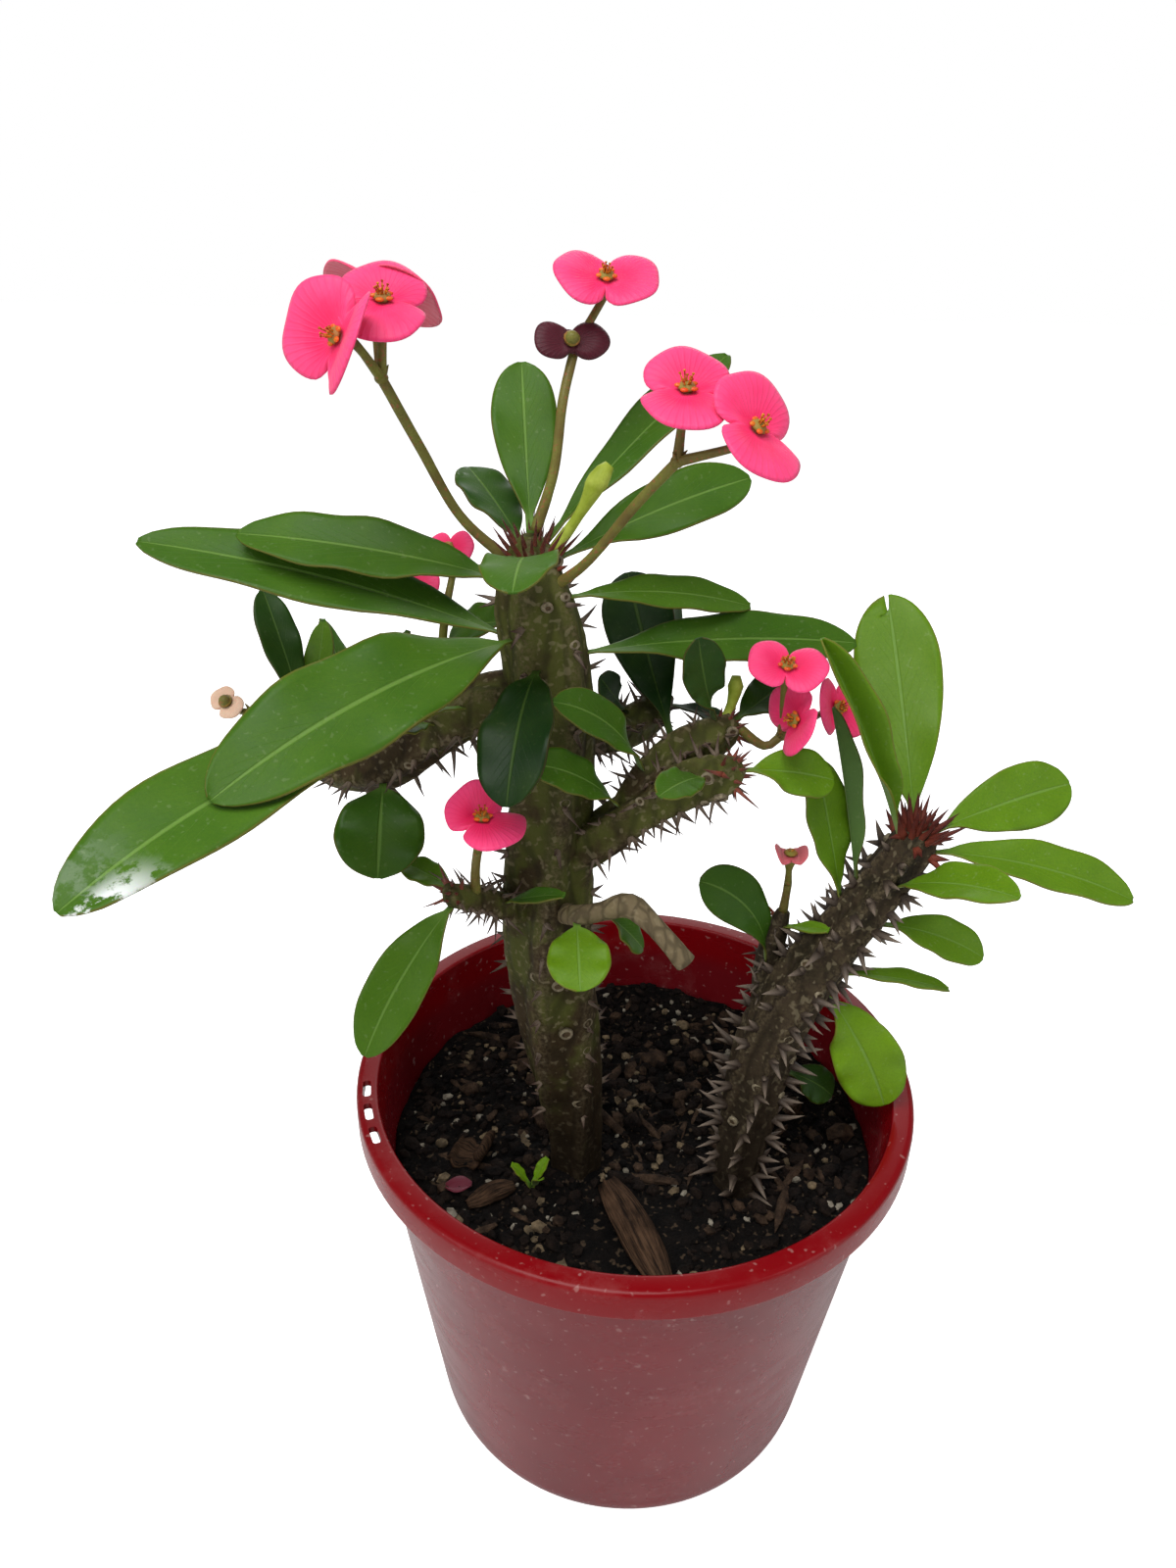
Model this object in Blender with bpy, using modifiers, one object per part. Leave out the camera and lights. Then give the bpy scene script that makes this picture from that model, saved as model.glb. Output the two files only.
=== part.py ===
"""Crown of thorns plant growing in a red plastic pot.

Metres, +Z up. The origin is the centre of the pot's flat base, +X is to the right and -Y is to the front.
Sizes below are in millimetres and are turned into metres by MM. Angles are in degrees: a heading of 0 points
along +X and 90 along +Y, and a rise of 0 is level and 90 is straight up.
"""

import math
import random
from collections import namedtuple

import bmesh
import bpy
from mathutils import Matrix, Vector
from mathutils.kdtree import KDTree

MM = 0.001
GAP = 0.3  # clearance between neighbouring pieces

# Pot
RIM_RADIUS = 100.0
POT_HEIGHT = 148.0
BASE_RADIUS = 74.0
WALL = 1.8
BASE_WALL = 3.0
RIM_WIDTH = 7.5
RIM_DROP = 11.0
RIM_ROUND = 2.2
POT_SIDES = 42
SLOT_SIZE = (2.8, 8.0)
SLOT_HEADINGS = (178.0, 185.0, 192.0)
DRAIN_HOLES = 8
DRAIN_RADIUS = 4.5
DRAIN_CIRCLE = 56.0

# Soil
SOIL_TOP = 117.5
ROOT_DEPTH = 34.0
SOIL_RINGS = 4
SOIL_LUMP = 1.5
GRAINS = 18
GRAIN_SIZE = (1.4, 3.0)

# Stems
STEM_STEP = 10.0
RIB_HEIGHT = 0.10
RIB_TWIST = 0.55  # degrees for each millimetre of stem
SPINE_FOOT = 0.85
SPINE_TIP = 0.14

# Leaves and petals
BLADE = 0.8
LEAF_ROWS = 6
PETIOLE = 1.1
TIP_FULLNESS = 0.55
SEAT_RADIUS = 1.9

# Flowers
STALK_RADIUS = 1.35
CUP_RADIUS = 2.5
PETAL_HOLE = 1.75
PETAL_SPOKES = 12
PETAL_RINGS = (0.0, 0.45, 1.0)
PETAL_WAIST = 0.3
PETAL_HINGE = 2.8
PETAL = 0.7
NECK_RADIUS = 1.4
STALK_SIDES = 5
CUP_DROP = 0.75
CLEARANCE = 1.9  # how far spines keep from leaves and stalks

Knot = namedtuple("Knot", "x y z r")
Stem = namedtuple("Stem", "knots ribs spines_from spine_step spine_length")
Leaf = namedtuple("Leaf", "name stem at heading rise length width droop swing roll wide fold columns")
Stalk = namedtuple("Stalk", "name stem at knots blooms")
Bloom = namedtuple("Bloom", "name x y z heading rise spin radius full lift_a lift_b")
Chip = namedtuple("Chip", "name x y heading x_size y_size z_size")

STEMS = {
    "trunk": Stem(
        [
            Knot(-21, -18, SOIL_TOP - ROOT_DEPTH, 8.6),
            Knot(-21, -18, 127, 8.8),
            Knot(-23, -18, 146, 10.5),
            Knot(-26, -18, 172, 12.6),
            Knot(-29, -18, 200, 13.6),
            Knot(-31, -18, 230, 13.6),
            Knot(-31, -18, 262, 12.6),
            Knot(-30, -18, 290, 12.0),
            Knot(-32, -18, 314, 12.0),
            Knot(-35, -18, 330, 10.5),
            Knot(-36, -17, 343, 7.0),
            Knot(-36, -17, 348, 3.0),
        ],
        5, 0.18, 42.0, 10.0,
    ),
    "branch_right": Stem(
        [
            Knot(-29, -18, 246, 7.6),
            Knot(-18, -20, 253, 7.4),
            Knot(-3, -22, 266, 6.8),
            Knot(10, -25, 276, 6.8),
            Knot(21, -28, 282, 6.0),
            Knot(25, -29, 285, 3.0),
        ],
        5, 0.22, 24.0, 10.0,
    ),
    "branch_fork": Stem(
        [
            Knot(-8, -22, 262, 5.5),
            Knot(-1, -17, 273, 6.0),
            Knot(9, -13, 282, 6.4),
            Knot(20, -11, 287, 5.8),
            Knot(25, -10, 291, 3.0),
        ],
        5, 0.25, 26.0, 8.0,
    ),
    "branch_back": Stem(
        [
            Knot(-30, -18, 285, 7.5),
            Knot(-20, -6, 284, 7.2),
            Knot(-9, 6, 280, 6.6),
            Knot(1, 15, 282, 5.8),
            Knot(6, 19, 287, 3.0),
        ],
        5, 0.3, 30.0, 9.0,
    ),
    "branch_left": Stem(
        [
            Knot(-31, -18, 298, 8.0),
            Knot(-47, -16, 298, 8.2),
            Knot(-64, -13, 288, 7.6),
            Knot(-82, -7, 272, 7.4),
            Knot(-99, 0, 268, 7.0),
            Knot(-107, 1, 276, 6.0),
            Knot(-108, 1, 284, 3.0),
        ],
        5, 0.25, 30.0, 10.0,
    ),
    "branch_low": Stem(
        [
            Knot(-31, -19, 229, 5.2),
            Knot(-42, -27, 233, 4.6),
            Knot(-51, -35, 241, 4.2),
            Knot(-57, -41, 246, 4.0),
            Knot(-59, -44, 250, 2.2),
        ],
        4, 0.45, 14.0, 9.0,
    ),
    "twig_dry": Stem(
        [
            Knot(-29, -20, 228, 3.6),
            Knot(-22, -35, 236, 3.2),
            Knot(-14, -40, 241, 3.0),
            Knot(-6, -43, 245, 3.8),
            Knot(2, -47, 240, 2.9),
            Knot(11, -50, 230, 3.3),
        ],
        0, 1.0, 10.0, 0.0,
    ),
    "second_stem": Stem(
        [
            Knot(37, -27, SOIL_TOP - ROOT_DEPTH, 7.6),
            Knot(37, -27, 125, 7.8),
            Knot(39, -24, 148, 9.4),
            Knot(43, -20, 174, 9.8),
            Knot(51, -17, 194, 9.8),
            Knot(61, -14, 210, 9.2),
            Knot(71, -12, 225, 8.4),
            Knot(79, -10, 238, 7.8),
            Knot(86, -9, 250, 6.6),
            Knot(88, -8, 256, 3.0),
        ],
        6, 0.26, 24.0, 9.0,
    ),
    "second_side": Stem(
        [
            Knot(42, -20, 182, 4.4),
            Knot(42, -11, 198, 4.0),
            Knot(45, -7, 212, 3.8),
            Knot(47, -6, 220, 2.2),
        ],
        4, 0.3, 18.0, 6.0,
    ),
}


def direction(heading, rise):
    """The unit vector that points along a heading and a rise."""
    h, e = math.radians(heading), math.radians(rise)
    return Vector((math.cos(h) * math.cos(e), math.sin(h) * math.cos(e), math.sin(e)))


def smooth_path(knots, step):
    """Points and radii along a Catmull-Rom curve through the knots, about one step apart."""
    rows = [Vector(knot) for knot in knots]
    rows = [2 * rows[0] - rows[1], *rows, 2 * rows[-1] - rows[-2]]
    found = []
    for a, b, c, d in zip(rows, rows[1:], rows[2:], rows[3:]):
        count = max(1, round((c.xyz - b.xyz).length / step))
        for i in range(count):
            t = i / count
            found.append(
                0.5 * (2 * b + (c - a) * t + (2 * a - 5 * b + 4 * c - d) * t**2 + (3 * b - a - 3 * c + d) * t**3)
            )
    found.append(rows[-2])
    return [(row.xyz, row.w) for row in found]


class Path:
    """A smooth line with a radius at each point and a frame that doesn't twist along it."""

    def __init__(self, knots, step):
        rows = smooth_path(knots, step)
        self.points = [point for point, _ in rows]
        self.radii = [radius for _, radius in rows]
        self.tangents = []
        for i in range(len(rows)):
            before, after = self.points[max(0, i - 1)], self.points[min(len(rows) - 1, i + 1)]
            self.tangents.append((after - before).normalized())
        side = self.tangents[0].orthogonal().normalized()
        self.sides, self.walked = [side], [0.0]
        for i in range(1, len(rows)):
            side = (side - side.dot(self.tangents[i]) * self.tangents[i]).normalized()
            self.sides.append(side)
            self.walked.append(self.walked[-1] + (self.points[i] - self.points[i - 1]).length)

    def at(self, share):
        """(point, tangent, side, radius, distance from the start) at a share of the whole length."""
        distance = share * self.walked[-1]
        i = max(1, next((n for n, w in enumerate(self.walked) if w >= distance), len(self.walked) - 1))
        span = self.walked[i] - self.walked[i - 1]
        t = (distance - self.walked[i - 1]) / span
        return (
            self.points[i - 1].lerp(self.points[i], t),
            self.tangents[i - 1].lerp(self.tangents[i], t).normalized(),
            self.sides[i - 1].lerp(self.sides[i], t).normalized(),
            self.radii[i - 1] + (self.radii[i] - self.radii[i - 1]) * t,
            distance,
        )

    def reach(self, share, way):
        """How far along a way from the line's centre the stem's rough surface is left behind."""
        start = self.at(share)[0]
        distance = 0.0
        while distance < 60.0 and self.holds(start + way * distance):
            distance += 0.4
        return distance

    def holds(self, point):
        """Whether a point lies inside the line's rough surface."""
        for i in range(1, len(self.points)):
            a, b = self.points[i - 1], self.points[i]
            t = min(1.0, max(0.0, (point - a).dot(b - a) / (b - a).length_squared))
            radius = self.radii[i - 1] + (self.radii[i] - self.radii[i - 1]) * t
            if (point - a.lerp(b, t)).length < radius * (1 + RIB_HEIGHT):
                return True
        return False


PATHS = {name: Path(stem.knots, STEM_STEP) for name, stem in STEMS.items()}


def leaf_seat(leaf):
    """(where the petiole starts, which way it starts): just clear of a small boss on the stem."""
    way = direction(leaf.heading, leaf.rise)
    path = PATHS[leaf.stem]
    return path.at(leaf.at)[0] + way * (path.reach(leaf.at, way) + 1.0 + GAP), way


def midrib(leaf, rows=LEAF_ROWS):
    """(share of the length, point, tangent) from the petiole to the tip. Rows lie closer near the tip."""
    point, _ = leaf_seat(leaf)
    found, last = [], 0.0
    fine = 6
    for n in range(rows * fine + 1):
        t = 1 - (1 - n / (rows * fine)) ** 1.35
        way = direction(leaf.heading + leaf.swing * t, leaf.rise - leaf.droop * t)
        point = point + way * leaf.length * (t - last)
        last = t
        if n % fine == 0:
            found.append((t, point.copy(), way))
    return found


def half_width(leaf, t):
    """Half of the blade's width at a share of its length: narrow petiole, widest at leaf.wide, round tip."""
    t = min(t, 0.985)
    rising = TIP_FULLNESS * leaf.wide / (1 - leaf.wide)
    shape = (t / leaf.wide) ** rising * ((1 - t) / (1 - leaf.wide)) ** TIP_FULLNESS
    return max(PETIOLE, 0.5 * leaf.width * shape)


def across(leaf, way, t):
    """(towards the blade's left edge, out of its upper face) at a share of its length."""
    up = Vector((0, 0, 1)) - way.z * way
    if up.length < 0.05:
        up = -direction(leaf.heading, 0)
    up.normalize()
    side = way.cross(up)
    turn = Matrix.Rotation(math.radians(leaf.roll * min(1.0, 3 * t)), 3, way)
    return turn @ side, turn @ up


def blade_points(leaf, rows=LEAF_ROWS, columns=None):
    """Rows of points over the blade's middle surface: a valley along the midrib, its angle set by leaf.fold."""
    half = (columns or leaf.columns) // 2
    rise = math.radians(leaf.fold)
    table = []
    for t, point, way in midrib(leaf, rows):
        side, up = across(leaf, way, t)
        reach = half_width(leaf, t)
        row = []
        for j in range(-half, half + 1):
            share = j / half
            off = reach * share * math.cos(rise) * side + reach * abs(share) * math.sin(rise) * up
            row.append(point + off)
        table.append(row)
    return table

LEAVES = [
    Leaf("leaf_top_upright", "trunk", 0.985, 97, 47, 50, 19, -4, 0, -3, 0.66, 8, 4),
    Leaf("leaf_top_back", "trunk", 0.975, 119, 25, 36, 17, 10, 0, 1, 0.62, 8, 4),
    Leaf("leaf_top_right_far", "trunk", 0.975, 39, 40, 76, 17, 12, 0, 15, 0.66, 10, 4),
    Leaf("leaf_top_right", "trunk", 0.96, 23, 24, 60, 18, 14, 0, 45, 0.66, 10, 4),
    Leaf("leaf_top_front", "trunk", 0.955, 267, 35, 40, 20, 55, 0, 6, 0.62, 8, 4),
    Leaf("leaf_top_left", "trunk", 0.945, 172, 12, 75, 20, 12, 0, -34, 0.55, 10, 4),
    Leaf("leaf_left_long", "trunk", 0.875, 173, 18, 106, 22, 14, 0, -31, 0.56, 10, 4),
    Leaf("leaf_left_big", "trunk", 0.895, 223, 1, 92, 31, 25, 0, -30, 0.55, 9, 4),
    Leaf("leaf_left_lowest", "branch_left", 0.2, 230, 13, 125, 29, 35, 0, -16, 0.66, 9, 4),
    Leaf("leaf_left_under", "branch_left", 0.24, 192, -16, 106, 17, 25, 0, 38, 0.6, 14, 4),
    Leaf("leaf_front_dark", "trunk", 0.87, 261, -2, 44, 21, 60, 0, 13, 0.6, 8, 4),
    Leaf("leaf_low_round", "branch_left", 0.62, 274, -23, 31, 27, 15, 0, -7, 0.56, 6, 4),
    Leaf("leaf_low_left", "branch_low", 0.85, 218, -40, 50, 18, 25, 0, -39, 0.55, 8, 4),
    Leaf("leaf_low_small", "branch_low", 0.8, 143, 8, 20, 10, 10, 0, -14, 0.6, 10, 2),
    Leaf("leaf_low_disc", "twig_dry", 0.3, 274, -12, 22, 19, 20, 0, 2, 0.56, 4, 4),
    Leaf("leaf_low_behind", "twig_dry", 0.45, 30, -44, 20, 10, 15, 0, 46, 0.6, 8, 2),
    Leaf("leaf_low_narrow", "branch_low", 0.45, 320, 33, 24, 6, 10, 0, 32, 0.5, 20, 2),
    Leaf("leaf_back_left_a", "branch_left", 0.97, 123, 53, 40, 13, 10, 0, 2, 0.6, 8, 4),
    Leaf("leaf_back_left_b", "branch_left", 0.95, 85, 44, 30, 10, -10, 0, -10, 0.6, 12, 2),
    Leaf("leaf_back_left_c", "branch_left", 0.6, 122, 22, 50, 11, -20, 0, 27, 0.6, 10, 2),
    Leaf("leaf_left_mid", "branch_left", 0.68, 54, 59, 34, 10, -10, 0, -15, 0.6, 12, 2),
    Leaf("leaf_trunk_back", "trunk", 0.905, 133, -14, 30, 15, 10, 0, -42, 0.6, 8, 2),
    Leaf("leaf_left_small", "branch_left", 0.4, 105, 2, 18, 14, 5, 0, 28, 0.58, 8, 2),
    Leaf("leaf_left_yellow", "branch_left", 0.35, 249, 23, 24, 9, 10, 0, -18, 0.6, 10, 2),
    Leaf("leaf_right_upright", "branch_fork", 0.56, 108, 35, 56, 23, -12, 0, -21, 0.7, 9, 4),
    Leaf("leaf_right_sliver", "branch_back", 0.9, 79, 40, 44, 12, 30, 0, 79, 0.7, 10, 2),
    Leaf("leaf_right_long", "trunk", 0.865, 16, 4, 84, 18, 14, 0, 38, 0.6, 10, 4),
    Leaf("leaf_right_long_back", "trunk", 0.93, 21, 2, 56, 12, 22, 0, 39, 0.58, 10, 4),
    Leaf("leaf_right_mid", "branch_fork", 0.86, 225, 66, 28, 14, -10, 0, -113, 0.64, 12, 4),
    Leaf("leaf_right_forward", "branch_fork", 0.3, 223, 61, 46, 13, 40, 0, -64, 0.6, 10, 4),
    Leaf("leaf_right_low", "branch_right", 0.42, 220, 50, 40, 13, 30, 0, -55, 0.6, 10, 4),
    Leaf("leaf_right_small", "branch_right", 0.86, 239, 22, 26, 11, 20, 0, -24, 0.55, 8, 2),
    Leaf("leaf_right_yellow", "branch_right", 0.95, 21, -8, 30, 16, 15, 0, 45, 0.62, 8, 4),
    Leaf("leaf_right_shade", "branch_fork", 0.96, 50, 8, 28, 14, 0, 0, 33, 0.6, 10, 2),
    Leaf("leaf_back_small", "branch_back", 0.7, 241, 45, 22, 11, 0, 0, -90, 0.6, 10, 2),
    Leaf("leaf_right_edge", "branch_back", 0.92, 29, -20, 34, 9, 15, 0, 23, 0.6, 10, 2),
    Leaf("leaf_second_tall", "second_stem", 0.965, 97, 54, 74, 28, 8, 0, -20, 0.64, 6, 4),
    Leaf("leaf_second_folded", "second_stem", 0.93, 180, 69, 70, 19, 10, 0, -61, 0.6, 35, 4),
    Leaf("leaf_second_edge", "second_stem", 0.8, 163, 79, 58, 13, 5, 0, 29, 0.6, 30, 4),
    Leaf("leaf_second_inner", "second_stem", 0.76, 150, 76, 46, 16, 5, 0, -33, 0.62, 10, 2),
    Leaf("leaf_second_broad", "second_stem", 0.965, 23, 14, 52, 22, 12, 0, 48, 0.66, 8, 4),
    Leaf("leaf_second_thin", "second_stem", 0.94, 357, 0, 66, 18, 25, 0, 32, 0.6, 20, 4),
    Leaf("leaf_second_front", "second_stem", 0.85, 305, 36, 44, 15, 25, 0, 32, 0.58, 20, 4),
    Leaf("leaf_second_low", "second_stem", 0.78, 0, -5, 36, 15, 30, 0, 38, 0.62, 10, 4),
    Leaf("leaf_second_dark", "second_stem", 0.66, 3, -4, 36, 9, 15, 0, 5, 0.6, 20, 2),
    Leaf("leaf_second_hanging", "second_stem", 0.66, 349, -51, 48, 24, 20, 0, 72, 0.62, 6, 4),
    Leaf("leaf_second_shade", "second_stem", 0.45, 8, -21, 20, 13, 30, 0, 53, 0.6, 6, 2),
    Leaf("leaf_second_curled", "second_side", 0.36, 184, 86, 40, 18, 70, 0, -61, 0.7, 8, 4),
    Leaf("leaf_second_bud", "second_side", 0.85, 319, 25, 15, 5, 10, 0, 29, 0.6, 20, 2),
]

BLOOMS = {
    b.name: b
    for b in (
        Bloom("bracts_left_a", -79, -46, 402, 226, 4, 10, 17, 0.3, 41, 29),
        Bloom("bracts_left_b", -70, -36, 409, 294, 45, 253, 14.5, 0.3, -5, 22),
        Bloom("bracts_left_c", -73, -17, 409, 290, 55, 12, 16.5, 0.3, 19, -6),
        Bloom("bracts_top", -17, 4, 412, 273, 28, 358, 14.5, 0.3, 30, 33),
        Bloom("bracts_right_a", 2, -48, 392, 281, 54, 245, 14.5, 0.3, 4, 20),
        Bloom("bracts_right_b", 18, -56, 385, 325, 12, 208, 15.5, 0.3, 15, 26),
        Bloom("bracts_back_a", -63, 16, 334, 245, 39, 14, 8.5, 0.3, -3, 7),
        Bloom("bracts_back_b", -74, 10, 324, 237, 44, 21, 9.0, 0.3, 9, -7),
        Bloom("bracts_low", -48, -50, 277, 262, 88, 347, 13.5, 0.3, 65, 4),
        Bloom("bracts_side_a", 42, -18, 295, 257, 30, 321, 12.0, 0.3, 11, 0),
        Bloom("bracts_side_b", 60, 12, 286, 319, 15, 266, 13.0, 0.3, 48, 29),
        Bloom("bracts_side_c", 38, -16, 311, 260, 34, 353, 12.0, 0.3, 36, 34),
        Bloom("bracts_pale", 46, -12, 245, 274, 89, 353, 7.0, 0.3, 57, 50),
        Bloom("bracts_dried", -26, -1, 397, 283, 9, 1, 10.5, 0.3, 32, 13),
        Bloom("bracts_faded", -133, 4, 287, 252, 48, 328, 6.0, 0.3, 22, -3),
    )
}
FUSED_BLOOMS = ("bracts_pale", "bracts_dried", "bracts_faded")

STALKS = [
    Stalk("stalk_left", "trunk", 0.95, [(-55, -20, 354), (-64, -26, 373), (-72, -32, 391)],
          ["bracts_left_a", "bracts_left_b", "bracts_left_c"]),
    Stalk("stalk_top", "trunk", 0.99, [(-30, -12, 365), (-28, -6, 382), (-25, 2, 395)],
          ["bracts_top", "bracts_dried"]),
    Stalk("stalk_right", "trunk", 0.93, [(-20, -28, 345), (-8, -38, 363), (1, -45, 375)],
          ["bracts_right_a", "bracts_right_b"]),
    Stalk("stalk_back", "branch_left", 0.28, [(-64, 2, 306), (-64, 9, 316)], ["bracts_back_a", "bracts_back_b"]),
    Stalk("stalk_low", "branch_low", 0.7, [(-51, -44, 258), (-50, -46, 265)], ["bracts_low"]),
    Stalk("stalk_side", "branch_fork", 0.97, [(34, -13, 284), (39, -12, 287)],
          ["bracts_side_a", "bracts_side_b", "bracts_side_c"]),
    Stalk("stalk_pale", "second_side", 0.97, [(47, -7, 227), (47, -8, 232)], ["bracts_pale"]),
    Stalk("stalk_faded", "branch_left", 0.97, [(-118, 4, 282), (-126, 5, 283)], ["bracts_faded"]),
]

CHIPS = [
    Chip("bark_large", 1, -54, 95, 13, 40, 7.5),
    Chip("bark_small", -50, -36, 30, 8, 17, 4.0),
]

COLOURS = {
    "pot": ((0.33, 0.03, 0.05), 0.35, 0.4),
    "soil": ((0.03, 0.022, 0.018), 0.95, 0.0),
    "bark": ((0.16, 0.075, 0.035), 0.9, 0.0),
    "trunk": ((0.13, 0.13, 0.07), 0.8, 0.0),
    "second_stem": ((0.15, 0.14, 0.09), 0.85, 0.0),
    "stalk": ((0.22, 0.27, 0.10), 0.6, 0.0),
    "bracts": ((0.95, 0.06, 0.20), 0.5, 0.0),
    "leaf": ((0.10, 0.22, 0.06), 0.45, 0.1),
}


def tube_rings(path, sides, ribs):
    """Rings of points around a path. Every second point stands out as a rib where there are ribs."""
    rings = []
    for point, tangent, side, radius, walked in zip(
        path.points, path.tangents, path.sides, path.radii, path.walked
    ):
        other = tangent.cross(side)
        ring = []
        for j in range(sides):
            angle = math.tau * j / sides + math.radians(RIB_TWIST * walked) * (ribs > 0)
            relief = (RIB_HEIGHT if j % 2 == 0 else -RIB_HEIGHT) if ribs else 0.0
            ring.append(point + radius * (1 + relief) * (math.cos(angle) * side + math.sin(angle) * other))
        rings.append(ring)
    return rings


def add_surface(bm, table, closed=False):
    """A grid of faces laid through a table of points. A closed one is welded into a tube and capped."""
    columns = len(table[0]) + (1 if closed else 0)
    made = bmesh.ops.create_grid(bm, x_segments=columns - 1, y_segments=len(table) - 1, size=1.0)["verts"]
    made.sort(key=lambda v: (round(v.co.y, 4), round(v.co.x, 4)))
    for n, vert in enumerate(made):
        row, column = divmod(n, columns)
        vert.co = table[row][column % len(table[row])]
    if closed:
        welded = bmesh.ops.weld_verts
        pairs = {made[(row + 1) * columns - 1]: made[row * columns] for row in range(len(table))}
        welded(bm, targetmap=pairs)
        bmesh.ops.holes_fill(bm, edges=[e for e in bm.edges if e.is_boundary], sides=0)


def solid(name, bm, collection):
    """A mesh object in metres from a bmesh in millimetres."""
    bmesh.ops.scale(bm, vec=(MM, MM, MM), verts=bm.verts)
    bmesh.ops.recalc_face_normals(bm, faces=bm.faces)
    mesh = bpy.data.meshes.new(name)
    bm.to_mesh(mesh)
    bm.free()
    obj = bpy.data.objects.new(name, mesh)
    collection.objects.link(obj)
    return obj


def tube(name, path, sides, ribs, collection):
    bm = bmesh.new()
    add_surface(bm, tube_rings(path, sides, ribs), closed=True)
    return solid(name, bm, collection)


def boss(name, stem, at, way, collection):
    """The short round seat that a petiole or a stalk stands on, from the stem's centre line outwards."""
    path = PATHS[stem]
    start = path.at(at)[0]
    length = path.reach(at, way) + 1.0
    bm = bmesh.new()
    place = Matrix.Translation(start + way * length / 2) @ way.to_track_quat("Z", "Y").to_matrix().to_4x4()
    bmesh.ops.create_cone(
        bm, cap_ends=True, segments=6, radius1=SEAT_RADIUS + 0.6, radius2=SEAT_RADIUS, depth=length, matrix=place
    )
    return solid(name, bm, collection)


def blade(leaf, collection, sunk=0.0):
    """A leaf: a folded and curved sheet given its thickness. A sunk one starts inside the stem."""
    rows = LEAF_ROWS if leaf.columns > 2 else LEAF_ROWS - 2
    table = blade_points(leaf, rows)
    if sunk:
        way = direction(leaf.heading, leaf.rise)
        table = [[point - way * sunk for point in table[0]], *table]
    bm = bmesh.new()
    add_surface(bm, table)
    bmesh.ops.triangulate(bm, faces=bm.faces, quad_method="SHORT_EDGE")
    obj = solid(leaf.name, bm, collection)
    thick = obj.modifiers.new("thickness", "SOLIDIFY")
    thick.thickness = BLADE * MM
    thick.offset = 0.0
    return obj


def bloom_frame(bloom):
    """(centre, way the bloom faces, way its first petal points, the third way)."""
    facing = direction(bloom.heading, bloom.rise)
    up = (Vector((0, 0, 1)) - facing.z * facing).normalized()
    along = Matrix.Rotation(math.radians(bloom.spin), 3, facing) @ facing.cross(up)
    return Vector((bloom.x, bloom.y, bloom.z)), facing, along, facing.cross(along)


def petal_rings(bloom, hole):
    """Rings of points over a pair of petals round their hole, each petal lifted beyond a hinge line."""
    centre, facing, along, other = bloom_frame(bloom)
    rings = []
    for t in PETAL_RINGS:
        ring = []
        for j in range(PETAL_SPOKES):
            angle = math.tau * j / PETAL_SPOKES
            outer = bloom.radius * max(abs(math.cos(angle)) ** bloom.full, PETAL_WAIST)
            r = hole + (outer - hole) * t
            x, y = r * math.cos(angle), r * math.sin(angle)
            over = max(0.0, abs(x) - PETAL_HINGE)
            lift = math.radians(bloom.lift_a if x > 0 else bloom.lift_b)
            x = math.copysign(abs(x) - over + over * math.cos(lift), x)
            ring.append(centre + x * along + y * other + over * math.sin(lift) * facing)
        rings.append(ring)
    return rings


def petals(bloom, hole, collection):
    bm = bmesh.new()
    add_surface_ring(bm, petal_rings(bloom, hole))
    bmesh.ops.triangulate(bm, faces=bm.faces, quad_method="SHORT_EDGE")
    obj = solid(bloom.name, bm, collection)
    thick = obj.modifiers.new("thickness", "SOLIDIFY")
    thick.thickness = PETAL * MM
    thick.offset = 0.0
    return obj


def add_surface_ring(bm, table):
    """A flat ring of faces through closed rings of points, open at its hole and at its outer edge."""
    columns = len(table[0]) + 1
    made = bmesh.ops.create_grid(bm, x_segments=columns - 1, y_segments=len(table) - 1, size=1.0)["verts"]
    made.sort(key=lambda v: (round(v.co.y, 4), round(v.co.x, 4)))
    for n, vert in enumerate(made):
        row, column = divmod(n, columns)
        vert.co = table[row][column % len(table[row])]
    pairs = {made[(row + 1) * columns - 1]: made[row * columns] for row in range(len(table))}
    bmesh.ops.weld_verts(bm, targetmap=pairs)


def stalk_paths(stalk):
    """Every tube of a flower stalk: the main one, then one to the cup of each bloom and its neck."""
    path = PATHS[stalk.stem]
    first = Vector(stalk.knots[0])
    way = (first - path.at(stalk.at)[0]).normalized()
    start = path.at(stalk.at)[0] + way * (path.reach(stalk.at, way) + 1.0 + GAP)
    knots = [Knot(*start, STALK_RADIUS + 0.3)] + [Knot(*k, STALK_RADIUS) for k in stalk.knots]
    found = [Path(knots, 9.0)]
    for name in stalk.blooms:
        bloom = BLOOMS[name]
        centre, facing, _, _ = bloom_frame(bloom)
        fork = knots[-1]
        low, cup = centre - facing * 5.0, centre - facing * CUP_DROP
        found.append(Path([fork, Knot(*low, STALK_RADIUS - 0.2), Knot(*cup, CUP_RADIUS - 0.6)], 7.0))
        neck = [(-1.6, 1.0), (-0.6, NECK_RADIUS), (0.9, NECK_RADIUS), (1.1, NECK_RADIUS + 0.9), (2.0, NECK_RADIUS)]
        found.append(Path([Knot(*(centre + facing * z), r) for z, r in neck], 40.0))
    return way, found


def union(name, base, pieces, collection, solver="EXACT"):
    """Fuse every object of a collection of pieces into a base object, then remove the pieces."""
    fuse = base.modifiers.new("fuse", "BOOLEAN")
    fuse.operation, fuse.operand_type, fuse.solver = "UNION", "COLLECTION", solver
    fuse.collection = pieces
    if solver == "EXACT":
        fuse.use_self = True
    bpy.context.view_layer.update()
    mesh = bpy.data.meshes.new_from_object(base.evaluated_get(bpy.context.evaluated_depsgraph_get()))
    mesh.name = name
    obj = bpy.data.objects.new(name, mesh)
    for old in [base, *pieces.objects]:
        bpy.data.objects.remove(old, do_unlink=True)
    obj.name = name
    collection.objects.link(obj)
    return obj


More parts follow.
